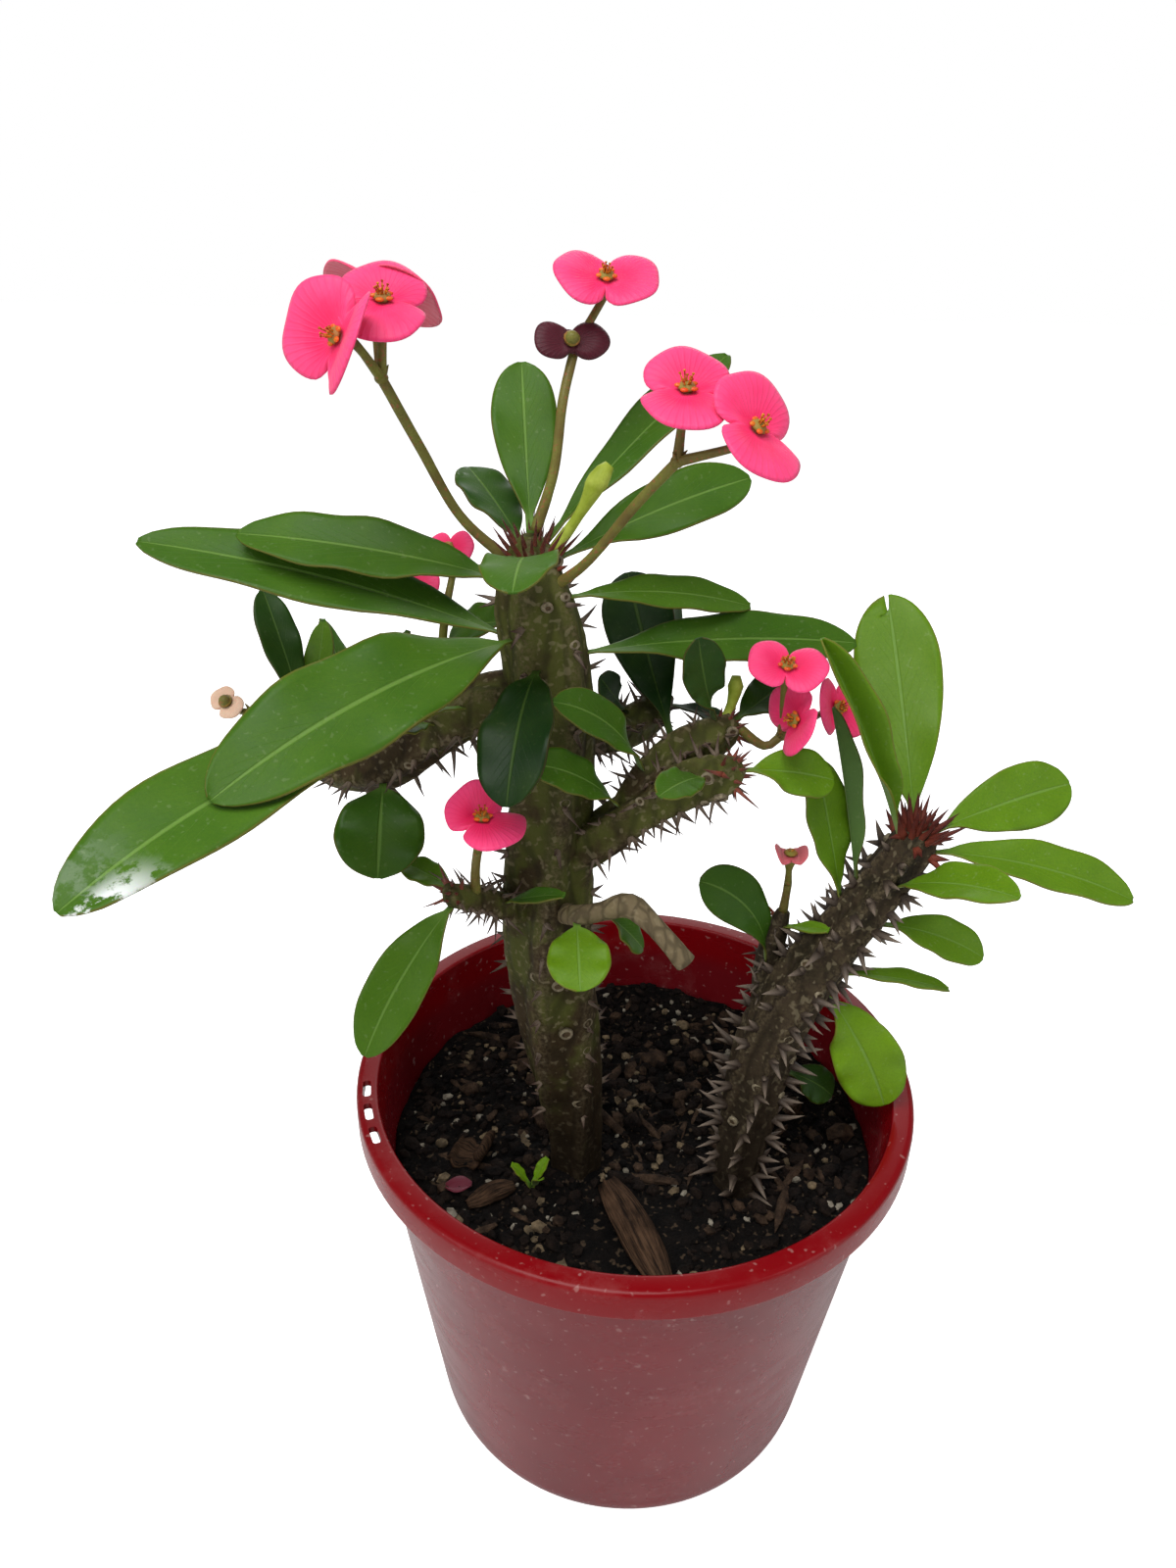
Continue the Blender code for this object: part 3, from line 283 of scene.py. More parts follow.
STALKS = [
    Stalk("stalk_left", "trunk", 0.95, [(-55, -20, 354), (-64, -26, 373), (-72, -32, 391)], "left_a left_b left_c"),
    Stalk("stalk_top", "trunk", 0.99, [(-30, -12, 365), (-28, -6, 382), (-25, 2, 395)], "top dried"),
    Stalk("stalk_right", "trunk", 0.93, [(-20, -28, 345), (-8, -38, 363), (1, -45, 375)], "right_a right_b"),
    Stalk("stalk_back", "branch_left", 0.28, [(-64, 2, 306), (-64, 9, 316)], "back_a back_b"),
    Stalk("stalk_low", "branch_low", 0.7, [(-51, -44, 258), (-50, -46, 265)], "low"),
    Stalk("stalk_side", "branch_fork", 0.97, [(34, -13, 284), (39, -12, 287)], "side_a side_b side_c"),
    Stalk("stalk_pale", "second_side", 0.97, [(47, -7, 227), (47, -8, 232)], "pale"),
    Stalk("stalk_faded", "branch_left", 0.97, [(-118, 4, 282), (-126, 5, 283)], "faded"),
]

FUSED_BLOOMS = ("pale", "dried", "faded")
SPENT_BLOOMS = ("dried", "faded")
PETAL_SHADES = {
    "pale": (0.75, 0.0, 0.0, 1.0),
    "dried": (0.0, 1.0, 0.0, 1.0),
    "faded": (0.0, 0.0, 0.9, 1.0),
    "left_c": (0.25, 0.0, 0.0, 1.0),
}

# Where a leaf is bitten at its end: (share of its half width, depth)
BITTEN = {"leaf_second_tall": (-0.45, 8.0)}

CHIPS = [
    Chip("bark_large", 0, -52, 113, 13, 44, 7.5),
    Chip("bark_small", -50, -36, 30, 8, 17, 4.0),
]

# Thorns along the ribs: (stem, first share, spacing, length, thickness, share where the young ones start)
THORN_RULES = (
    ("trunk", 0.22, 12.0, 8.5, 0.85, 0.96),
    ("branch_right", 0.20, 6.6, 8.5, 0.75, 0.93),
    ("branch_fork", 0.22, 7.0, 7.5, 0.7, 0.93),
    ("branch_back", 0.25, 7.5, 8.0, 0.7, 0.95),
    ("branch_left", 0.22, 7.6, 9.0, 0.75, 0.96),
    ("branch_low", 0.35, 4.4, 8.0, 0.6, 0.9),
    ("second_stem", 0.14, 7.4, 9.5, 1.5, 0.95),
    ("second_side", 0.20, 5.0, 6.0, 0.55, 0.9),
)

# Young thorns round a tip: (stem, count, length, thickness)
TIP_THORNS = (
    ("trunk", 40, 11.5, 1.0),
    ("second_stem", 44, 12.5, 1.5),
    ("branch_right", 12, 7, 1.0),
    ("branch_fork", 10, 6.5, 1.0),
    ("branch_left", 10, 7, 1.0),
    ("branch_low", 9, 6.5, 1.0),
)

# Marks of shed leaves: (stem, share of its length, heading, size)
SCARS = (
    ("trunk", 0.936, 293, 1.5),
    ("trunk", 0.854, 262, 1.6),
    ("trunk", 0.478, 252, 2.0),
    ("trunk", 0.465, 280, 2.0),
    ("trunk", 0.39, 284, 2.1),
    ("trunk", 0.27, 291, 1.8),
    ("second_stem", 0.66, 222, 1.6),
    ("second_stem", 0.55, 284, 1.9),
    ("second_stem", 0.445, 262, 1.7),
    ("second_stem", 0.36, 228, 1.7),
)


# Lines and places


def direction(heading, rise):
    """The unit vector that points along a heading and a rise."""
    h, e = math.radians(heading), math.radians(rise)
    return Vector((math.cos(h) * math.cos(e), math.sin(h) * math.cos(e), math.sin(e)))


def smooth_path(knots, step):
    """Points and radii along a Catmull-Rom curve through the knots, about one step apart."""
    rows = [Vector(knot) for knot in knots]
    rows = [2 * rows[0] - rows[1], *rows, 2 * rows[-1] - rows[-2]]
    found = []
    for a, b, c, d in zip(rows, rows[1:], rows[2:], rows[3:]):
        count = max(1, round((c.xyz - b.xyz).length / step))
        for i in range(count):
            t = i / count
            found.append(
                0.5 * (2 * b + (c - a) * t + (2 * a - 5 * b + 4 * c - d) * t**2 + (3 * b - a - 3 * c + d) * t**3)
            )
    found.append(rows[-2])
    return [(row.xyz, row.w) for row in found]


class Path:
    """A smooth line with a radius at each point and a frame that doesn't twist along it."""

    def __init__(self, knots, step):
        rows = smooth_path(knots, step)
        self.points = [point for point, _ in rows]
        self.radii = [radius for _, radius in rows]
        self.tangents = []
        for i in range(len(rows)):
            before, after = self.points[max(0, i - 1)], self.points[min(len(rows) - 1, i + 1)]
            self.tangents.append((after - before).normalized())
        side = self.tangents[0].orthogonal().normalized()
        self.sides, self.walked = [side], [0.0]
        for i in range(1, len(rows)):
            side = (side - side.dot(self.tangents[i]) * self.tangents[i]).normalized()
            self.sides.append(side)
            self.walked.append(self.walked[-1] + (self.points[i] - self.points[i - 1]).length)

    def at(self, share):
        """(point, tangent, side, radius) at a share of the whole length."""
        distance = share * self.walked[-1]
        i = max(1, next((n for n, w in enumerate(self.walked) if w >= distance), len(self.walked) - 1))
        t = (distance - self.walked[i - 1]) / (self.walked[i] - self.walked[i - 1])
        return (
            self.points[i - 1].lerp(self.points[i], t),
            self.tangents[i - 1].lerp(self.tangents[i], t).normalized(),
            self.sides[i - 1].lerp(self.sides[i], t).normalized(),
            self.radii[i - 1] + (self.radii[i] - self.radii[i - 1]) * t,
        )

    def reach(self, share, way):
        """How far along a way from the line's centre the stem's rough surface is left behind."""
        start = self.at(share)[0]
        distance = 0.0
        while distance < REACH_LIMIT and self.holds(start + way * distance):
            distance += REACH_STEP
        return distance

    def holds(self, point):
        """Whether a point lies inside the line's rough surface."""
        for i in range(1, len(self.points)):
            a, b = self.points[i - 1], self.points[i]
            t = min(1.0, max(0.0, (point - a).dot(b - a) / (b - a).length_squared))
            radius = self.radii[i - 1] + (self.radii[i] - self.radii[i - 1]) * t
            if (point - a.lerp(b, t)).length < radius * (1 + RIB_HEIGHT):
                return True
        return False


PATHS = {name: Path(stem.knots, SEAT_STEP) for name, stem in STEMS.items()}


def around(count):
    """Angles evenly round a circle."""
    return [math.tau * n / count for n in range(count)]


def circle(angle, side, other):
    """A way round an axis, between its two cross directions."""
    return math.cos(angle) * side + math.sin(angle) * other


def leaf_seat(leaf):
    """Where the petiole starts: just clear of a small boss on the stem."""
    way = direction(leaf.heading, leaf.rise)
    path = PATHS[leaf.stem]
    return path.at(leaf.at)[0] + way * (path.reach(leaf.at, way) + SEAT_HEIGHT + GAP)


def midrib(leaf):
    """(share of the length, point, tangent) from the petiole to the tip. Rows lie closer near the tip."""
    point = leaf_seat(leaf)
    found, last = [], 0.0
    steps = LEAF_ROWS * MIDRIB_STEPS
    for n in range(steps + 1):
        t = 1 - (1 - n / steps) ** TIP_CROWDING
        way = direction(leaf.heading, leaf.rise - leaf.droop * t)
        point = point + way * leaf.length * (t - last)
        last = t
        if n % MIDRIB_STEPS == 0:
            found.append((t, point.copy(), way))
    return found


def half_width(leaf, t):
    """Half of the blade's width at a share of its length: narrow petiole, widest at leaf.wide, round tip."""
    t = min(t, TIP_SHARE)
    rising = TIP_FULLNESS * leaf.wide / (1 - leaf.wide)
    shape = (t / leaf.wide) ** rising * ((1 - t) / (1 - leaf.wide)) ** TIP_FULLNESS
    return max(PETIOLE, 0.5 * leaf.width * shape)


def across(leaf, way, t):
    """(towards the blade's left edge, out of its upper face) at a share of its length."""
    up = Vector((0, 0, 1)) - way.z * way
    if up.length < 0.05:
        up = -direction(leaf.heading, 0)
    up.normalize()
    side = way.cross(up)
    turn = Matrix.Rotation(math.radians(leaf.roll * min(1.0, 3 * t)), 3, way)
    return turn @ side, turn @ up


def bloom_frame(bloom):
    """(centre, way the bloom faces, way its first petal points, the third way)."""
    facing = direction(bloom.heading, bloom.rise)
    up = (Vector((0, 0, 1)) - facing.z * facing).normalized()
    along = Matrix.Rotation(math.radians(bloom.spin), 3, facing) @ facing.cross(up)
    return Vector((bloom.x, bloom.y, bloom.z)), facing, along, facing.cross(along)


def stalk_paths(stalk):
    """Every tube of a flower stalk: the main one, then one to the cup of each bloom and its neck."""
    path = PATHS[stalk.stem]
    root = path.at(stalk.at)[0]
    way = (Vector(stalk.knots[0]) - root).normalized()
    start = root + way * (path.reach(stalk.at, way) - STALK_SUNK)
    knots = [(*start, STALK_RADIUS + 0.3)] + [(*knot, STALK_RADIUS) for knot in stalk.knots]
    found = [Path(knots, 2.0)]
    for name in stalk.blooms.split():
        centre, facing, _, _ = bloom_frame(BLOOMS[name])
        low, cup = centre - facing * CUP_STEM, centre - facing * CUP_DROP
        found.append(Path([knots[-1], (*low, STALK_RADIUS - 0.2), (*cup, CUP_RADIUS - 0.6)], 1.5))
        found.append(Path([(*(centre + facing * z), r) for z, r in NECK], 0.5))
    return found


# Meshes


def tube_rings(path, sides, ribs, rough):
    """Rings of points around a path, with smooth ribs and a little unevenness."""
    rings = []
    rows = zip(path.points, path.tangents, path.sides, path.radii, path.walked)
    for point, tangent, side, radius, walked in rows:
        other = tangent.cross(side)
        ring = []
        for angle in around(sides):
            wave = math.cos(ribs * (angle - math.radians(RIB_TWIST * walked))) if ribs else 0.0
            out = circle(angle, side, other)
            spot = point + out * radius
            bump = rough * noise.noise(spot * 0.28) + 0.6 * rough * noise.noise(spot * 0.7)
            ring.append(point + out * radius * (1 + RIB_HEIGHT * wave * min(1.0, radius / 5) + bump))
        rings.append(ring)
    return rings


def lay_grid(bm, table, closed, uv=None, colours=None):
    """A grid of faces through a table of points, welded round where closed."""
    columns = len(table[0]) + (1 if closed else 0)
    made = bmesh.ops.create_grid(bm, x_segments=columns - 1, y_segments=len(table) - 1, size=1.0)["verts"]
    made.sort(key=lambda v: (round(v.co.y, 4), round(v.co.x, 4)))
    for n, vert in enumerate(made):
        row, column = divmod(n, columns)
        vert.co = table[row][column % len(table[row])]
        if colours:
            vert[colours[0]] = colours[1][row][column % len(table[row])]
        if uv:
            for loop in vert.link_loops:
                loop[uv].uv = (column / (columns - 1), row / (len(table) - 1))
    if closed:
        pairs = {made[(row + 1) * columns - 1]: made[row * columns] for row in range(len(table))}
        bmesh.ops.weld_verts(bm, targetmap=pairs)


def close_ends(bm):
    bmesh.ops.holes_fill(bm, edges=[e for e in bm.edges if e.is_boundary], sides=0)


def face_outwards(bm):
    bmesh.ops.recalc_face_normals(bm, faces=bm.faces)


def facing_turn(way):
    return way.to_track_quat("Z", "Y").to_matrix().to_4x4()


def add_ball(bm, spot, size, stretch=(1.0, 1.0, 1.0), turn=None, subdivisions=2):
    sizes = Matrix.Diagonal((*[size * s for s in stretch], 1.0))
    place = Matrix.Translation(spot) @ (turn or Matrix.Identity(4)) @ sizes
    return bmesh.ops.create_icosphere(bm, subdivisions=subdivisions, radius=1.0, matrix=place)["verts"]


def add_cone(bm, segments, low, high, depth, place):
    made = bmesh.ops.create_cone(
        bm, cap_ends=True, segments=segments, radius1=low, radius2=high, depth=depth, matrix=place
    )
    return made["verts"]


def finished(name, bm, materials, smooth=True, shade=None):
    """An object in metres from a bmesh in millimetres, riding on the root body."""
    bmesh.ops.scale(bm, vec=(MM, MM, MM), verts=bm.verts)
    mesh = bpy.data.meshes.new(name)
    bm.to_mesh(mesh)
    bm.free()
    obj = bpy.data.objects.new(name, mesh)
    scene.collection.objects.link(obj)
    for material in materials:
        mesh.materials.append(material)
    for face in mesh.polygons:
        face.use_smooth = smooth
    if shade is not None:
        layer = mesh.attributes.new("shade", "FLOAT_COLOR", "POINT")
        for item in layer.data:
            item.color = shade
    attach(obj, "root")
    return obj


def make_sheet(name, table, materials, thickness, closed=False, shade=None):
    """A thin piece through a table of points, with its own map. A second material goes on its underside."""
    bm = bmesh.new()
    lay_grid(bm, table, closed, uv=bm.loops.layers.uv.new("blade"))
    if closed:
        bmesh.ops.reverse_faces(bm, faces=bm.faces)
    obj = finished(name, bm, materials, shade=shade)
    thick = obj.modifiers.new("thickness", "SOLIDIFY")
    thick.thickness = thickness * MM
    thick.offset = 0.0
    thick.material_offset = len(materials) - 1
    thick.use_even_offset = False
    return obj


def settle(obj):
    """Turn an object's live modifiers into its mesh."""
    bpy.context.view_layer.update()
    mesh = bpy.data.meshes.new_from_object(obj.evaluated_get(bpy.context.evaluated_depsgraph_get()))
    obj.modifiers.clear()
    obj.data = mesh


def soften(obj, angle):
    """Smooth shading, with edges sharper than an angle kept crisp."""
    bm = bmesh.new()
    bm.from_mesh(obj.data)
    for face in bm.faces:
        face.smooth = True
    for edge in bm.edges:
        if edge.is_manifold and edge.calc_face_angle(0) > math.radians(angle):
            edge.smooth = False
    bm.to_mesh(obj.data)
    bm.free()


# Materials


def linear(red, green, blue):
    """A colour picked on a screen, as light."""
    found = [c / 255 for c in (red, green, blue)]
    return tuple(c / 12.92 if c <= 0.04045 else ((c + 0.055) / 1.055) ** 2.4 for c in found) + (1.0,)


class Nodes:
    """Short ways to add and join the nodes of one tree."""

    def __init__(self, tree):
        self.tree = tree

    def put(self, socket, value):
        """Join a socket to another one, or set its value."""
        if isinstance(value, bpy.types.NodeSocket):
            self.tree.links.new(value, socket)
        elif socket.type == "RGBA" and len(value) == 3:
            socket.default_value = linear(*value)
        else:
            socket.default_value = value

    def add(self, kind, values=None, **settings):
        node = self.tree.nodes.new(kind)
        for key, value in settings.items():
            setattr(node, key, value)
        for key, value in (values or {}).items():
            self.put(node.inputs[key], value)
        return node

    def mix(self, share, a, b, blend="MIX"):
        return self.add("ShaderNodeMix", {0: share, 6: a, 7: b}, data_type="RGBA", blend_type=blend).outputs[2]

    def cover(self, colour, *layers):
        """A colour under layers of others, each given as (how much of it shows, its colour)."""
        for share, over in layers:
            colour = self.mix(share, colour, over)
        return colour

    def maths(self, operation, a, b=0.0, clamp=False):
        return self.add("ShaderNodeMath", {0: a, 1: b}, operation=operation, use_clamp=clamp).outputs[0]

    def times(self, a, b):
        return self.maths("MULTIPLY", a, b)

    def weigh(self, *parts):
        """The sum of several values, each given as (value, how much it counts)."""
        total = self.times(*parts[0])
        for part in parts[1:]:
            total = self.maths("ADD", total, self.times(*part))
        return total

    def ramp(self, value, low, high, out_low=0.0, out_high=1.0):
        values = {0: value, 1: low, 2: high, 3: out_low, 4: out_high}
        return self.add("ShaderNodeMapRange", values, interpolation_type="SMOOTHSTEP").outputs[0]

    def stretch(self, vector, scale):
        return self.add("ShaderNodeMapping", {"Vector": vector, "Scale": scale}).outputs[0]

    def noise(self, vector, scale, detail=3.0, rough=0.55):
        values = {"Vector": vector, "Scale": scale, "Detail": detail, "Roughness": rough}
        return self.add("ShaderNodeTexNoise", values).outputs["Fac"]

    def by_view(self, unseen, seen):
        """One shader for the camera and another for the light that bounces about."""
        mixed = self.add("ShaderNodeMixShader", {0: self.add("ShaderNodeLightPath").outputs["Is Camera Ray"]})
        self.put(mixed.inputs[1], unseen)
        self.put(mixed.inputs[2], seen)
        return mixed.outputs[0]


def mottle_group():
    """Shared unevenness: broad patches, fine grain and sparse specks over the surface."""
    tree = bpy.data.node_groups.new("mottle", "ShaderNodeTree")
    tree.interface.new_socket("Place", in_out="INPUT", socket_type="NodeSocketVector")
    for name in ("Patch size", "Grain size", "Specks"):
        tree.interface.new_socket(name, in_out="INPUT", socket_type="NodeSocketFloat")
    for name in ("Patches", "Grain", "Specks"):
        tree.interface.new_socket(name, in_out="OUTPUT", socket_type="NodeSocketFloat")
    nodes = Nodes(tree)
    given = nodes.add("NodeGroupInput").outputs
    result = nodes.add("NodeGroupOutput").inputs
    specks = nodes.noise(given["Place"], nodes.times(given["Grain size"], 0.45), 1.0)
    specks = nodes.maths("MULTIPLY", nodes.maths("SUBTRACT", specks, given["Specks"]), 14.0, clamp=True)
    nodes.put(result["Patches"], nodes.noise(given["Place"], given["Patch size"], 3.0))
    nodes.put(result["Grain"], nodes.noise(given["Place"], given["Grain size"], 4.0, 0.65))
    nodes.put(result["Specks"], specks)
    return tree


MOTTLE = mottle_group()


class Finish(Nodes):
    """A new material. Its patterns follow the object's coordinates, and plain numbers go straight on its shader."""

    def __init__(self, name, specular, coat=0.0, coat_roughness=0.3, sheen=0.0, inner=None):
        self.material = bpy.data.materials.new(name)
        self.material.use_nodes = True
        super().__init__(self.material.node_tree)
        self.shader = self.tree.nodes["Principled BSDF"]
        values = {
            "Specular IOR Level": specular,
            "Coat Weight": coat,
            "Coat Roughness": coat_roughness,
            "Sheen Weight": sheen,
        }
        if inner:
            values.update(zip(("Subsurface Weight", "Subsurface Radius", "Subsurface Scale"), inner))
        for key, value in values.items():
            self.put(self.shader.inputs[key], value)
        self.place = self.add("ShaderNodeTexCoord").outputs["Object"]

    def mottle(self, patch, grain, specks=0.62):
        """(patches, grain, specks) from the shared group."""
        values = {"Place": self.place, "Patch size": patch, "Grain size": grain, "Specks": specks}
        return self.add("ShaderNodeGroup", values, node_tree=MOTTLE).outputs

    def shade(self):
        """The three masks that the piece's shade attribute holds."""
        given = self.add("ShaderNodeAttribute", attribute_name="shade").outputs[0]
        return self.add("ShaderNodeSeparateColor", {0: given}).outputs

    def blade(self):
        """The place on the piece's own map."""
        return self.add("ShaderNodeUVMap", uv_map="blade").outputs[0]

    def parts(self, vector):
        return self.add("ShaderNodeSeparateXYZ", {0: vector}).outputs

    def wear(self, colour, rough, height, strength, distance):
        """Put the colour, roughness and relief on the shader."""
        relief = self.add("ShaderNodeBump", {"Height": height, "Strength": strength, "Distance": distance})
        for key, value in (("Base Color", colour), ("Roughness", rough), ("Normal", relief.outputs[0])):
            self.put(self.shader.inputs[key], value)
        return self.material


def leaf_material(name, deep, fresh, vein, coat, sheen, relief, rough):
    """A leaf's face. The shade attribute says how fresh each leaf is, how much painted shade darkens it (partly its
    own deeper green), and how chalky it is.
    """
    nodes = Finish(name, 0.14, coat, 0.25, sheen, inner=(0.08, (0.35, 1.0, 0.1), 0.0012))
    patches, grain, specks = nodes.mottle(55.0, 1400.0, 0.66)
    freshness, painted_shade_and_dark_green, chalkiness = nodes.shade()
    sideways, along, _ = nodes.parts(nodes.blade())
    aside = nodes.maths("ABSOLUTE", nodes.maths("SUBTRACT", sideways, 0.5))
    midrib = nodes.ramp(aside, 0.012, 0.032, 1.0, 0.0)
    slant = nodes.weigh((along, 13.0), (aside, -9.0))
    stripes = nodes.maths("ABSOLUTE", nodes.maths("SINE", nodes.times(slant, math.pi)))
    side_veins = nodes.times(nodes.ramp(stripes, 0.0, 0.22, 1.0, 0.0), nodes.ramp(aside, 0.02, 0.44, 0.55, 0.0))
    chalk = nodes.ramp(nodes.noise(nodes.place, 130.0, 5.0, 0.7), 0.46, 0.56)
    for share in (nodes.ramp(along, 0.70, 0.86), nodes.ramp(sideways, 0.12, 0.52, 1.0, 0.1), chalkiness):
        chalk = nodes.times(chalk, share)
    colour = nodes.cover(
        nodes.mix(freshness, deep, fresh),
        (nodes.ramp(patches, 0.35, 0.7, 0.0, 0.35), nodes.mix(0.5, fresh, deep)),
        (nodes.ramp(grain, 0.35, 0.75, 0.0, 0.22), deep),
        (nodes.times(side_veins, 0.16), vein),
        (nodes.times(midrib, 0.6), vein),
        (nodes.ramp(along, 0.0, 0.13, 0.75, 0.0), vein),
        (nodes.ramp(aside, 0.475, 0.5, 0.0, 0.5), (120, 96, 48)),
        (nodes.times(specks, 0.07), (190, 200, 160)),
        (chalk, (226, 230, 228)),
    )
    # Painted shade: leaves that lie in shade are multiplied towards SHADED_LEAF; for a few this is also their own
    # deeper green.
    colour = nodes.mix(1.0, colour, nodes.mix(painted_shade_and_dark_green, WHITE, SHADED_LEAF), "MULTIPLY")
    height = nodes.weigh((midrib, relief[0]), (side_veins, relief[1]), (patches, 0.9), (grain, 0.08))
    rough = nodes.maths("ADD", nodes.ramp(patches, 0.3, 0.7, *rough), nodes.times(chalk, 0.4))
    return nodes.wear(colour, rough, height, 0.5, 0.0009)


def petal_material(name, rich, pale):
    """A petal's face, with fine veins that run out from the middle and a lighter margin."""
    nodes = Finish(name, 0.22, 0.03, 0.4, 0.12, inner=(0.12, (1.0, 0.3, 0.4), 0.0015))
    patches, grain, _ = nodes.mottle(110.0, 1800.0)
    round_way, out, _ = nodes.parts(nodes.blade())
    faded, dried, cream = nodes.shade()
    rays = nodes.times(nodes.maths("ADD", round_way, nodes.times(patches, 0.02)), 46.0 * math.tau)
    rays = nodes.ramp(nodes.maths("SINE", rays), 0.1, 1.0)
    colour = nodes.cover(
        nodes.mix(nodes.ramp(out, 0.25, 1.0, 0.0, 0.55), rich, pale),
        (nodes.times(rays, 0.16), rich),
        (nodes.ramp(patches, 0.4, 0.7, 0.0, 0.3), pale),
        (nodes.ramp(out, 0.0, 0.16, 0.8, 0.0), (196, 24, 60)),
        (faded, (196, 108, 104)),
        (dried, (70, 8, 26)),
        (cream, (214, 190, 160)),
    )
    height = nodes.weigh((rays, 0.5), (patches, 1.2))
    return nodes.wear(colour, nodes.ramp(grain, 0.3, 0.7, 0.42, 0.56), height, 0.35, 0.0005)


def bark_material(name, skin, corky, scale, corky_share):
    """A stem's skin: green where young, grey-brown and cracked lengthwise where old, with pale scurf, and painted
    shade that darkens it towards the soil.
    """
    nodes = Finish(name, 0.12)
    patches, grain, specks = nodes.mottle(70.0, 900.0, 0.6)
    values = {"Vector": nodes.stretch(nodes.place, (1.0, 1.0, 0.28)), "Scale": scale}
    cracks = nodes.add("ShaderNodeTexVoronoi", values, feature="DISTANCE_TO_EDGE").outputs["Distance"]
    cracks = nodes.ramp(cracks, 0.02, 0.16, 1.0, 0.0)
    age, ridge, painted_low_shade = nodes.shade()
    age = nodes.maths("ADD", age, nodes.ramp(patches, 0.3, 0.7, -0.35, 0.35), clamp=True)
    colour = nodes.cover(
        nodes.mix(nodes.ramp(age, corky_share - 0.25, corky_share + 0.25), skin, corky),
        (nodes.ramp(grain, 0.3, 0.75, 0.0, 0.22), (98, 92, 66)),
        (nodes.times(cracks, 0.4), (22, 18, 10)),
        (nodes.times(ridge, nodes.ramp(grain, 0.4, 0.62, 0.05, 0.4)), (116, 102, 78)),
        (nodes.times(specks, 0.22), (160, 148, 118)),
        # Painted shade: darker low on the stem, where light from above is blocked.
        (painted_low_shade, (26, 19, 13)),
    )
    height = nodes.weigh((grain, 0.7), (cracks, -0.9), (patches, 1.4))
    return nodes.wear(colour, nodes.ramp(grain, 0.3, 0.7, 0.6, 0.85), height, 0.5, 0.0009)


def mottled_material(
    name, low, high, roughness, patch=90.0, grain=1200.0, bump=0.6, depth=0.0008, coat=0.0, speck=None
):
    """A plain uneven finish between two colours."""
    nodes = Finish(name, 0.15, coat, 0.2)
    patches, grains, specks = nodes.mottle(patch, grain)
    colour = nodes.mix(nodes.ramp(patches, 0.3, 0.7), low, high)
    colour = nodes.mix(nodes.ramp(grains, 0.35, 0.75, 0.0, 0.5), colour, low)
    if speck:
        colour = nodes.mix(nodes.times(specks, 0.6), colour, speck)
    span = min(0.12, roughness * 0.3)
    rough = nodes.ramp(grains, 0.3, 0.7, roughness - span, roughness + span)
    return nodes.wear(colour, rough, nodes.weigh((grains, 1.0), (patches, 1.5)), bump, depth)


def thorn_material(name, foot, tip, roughness):
    """A thorn, from its foot to its darker point. The shade attribute runs along it and marks the young ones."""
    nodes = Finish(name, 0.2, 0.05)
    patches, grain, _ = nodes.mottle(300.0, 2200.0)
    along, young, _ = nodes.shade()
    colour = nodes.cover(
        nodes.mix(nodes.ramp(along, 0.1, 0.9), foot, tip),
        (young, nodes.mix(nodes.ramp(along, 0.0, 1.0), (136, 62, 44), (70, 14, 12))),
        (nodes.ramp(grain, 0.35, 0.7, 0.0, 0.4), foot),
    )
    rough = nodes.ramp(patches, 0.3, 0.7, roughness - 0.1, roughness + 0.1)
    return nodes.wear(colour, rough, grain, 0.4, 0.0003)


def fibre_material(name, dark, light):
    """Old bark: long fibres along Y of the chip's own map, split and grey on their ridges."""
    nodes = Finish(name, 0.1)
    patches, grain, _ = nodes.mottle(90.0, 1300.0)
    fibres = nodes.noise(nodes.stretch(nodes.blade(), (26.0, 2.2, 1.0)), 1.0, 5.0, 0.7)
    colour = nodes.mix(nodes.ramp(fibres, 0.34, 0.66), dark, light)
    colour = nodes.mix(nodes.ramp(patches, 0.45, 0.7, 0.0, 0.5), colour, dark)
    height = nodes.weigh((fibres, 2.0), (grain, 0.5))
    return nodes.wear(colour, nodes.ramp(grain, 0.3, 0.7, 0.75, 0.95), height, 0.8, 0.0012)


def pot_material():
    """Moulded red plastic: glossy, faintly cloudy, with thin dust, pale specks and a brighter rim."""
    nodes = Finish("red_plastic", 0.17, 0.03, 0.2)
    patches, grain, specks = nodes.mottle(14.0, 900.0, 0.68)
    rim = nodes.ramp(nodes.parts(nodes.place)[2], 0.130, 0.139)
    dust = nodes.times(nodes.ramp(nodes.noise(nodes.place, 42.0, 6.0, 0.7), 0.5, 0.75), 0.11)
    colour = nodes.cover(
        nodes.mix(nodes.ramp(patches, 0.3, 0.7), (102, 12, 20), (116, 18, 26)),
        (rim, (124, 3, 12)),
        (dust, (178, 128, 126)),
        (nodes.times(specks, 0.22), (206, 176, 170)),
    )
    streaks = nodes.noise(nodes.stretch(nodes.place, (14.0, 14.0, 40.0)), 3.0, 4.0, 0.6)
    rough = nodes.maths("ADD", nodes.ramp(streaks, 0.3, 0.75, 0.22, 0.30), nodes.times(dust, 0.6))
    return nodes.wear(colour, rough, nodes.weigh((grain, 0.05), (patches, 3.0)), 0.1, 0.0006)


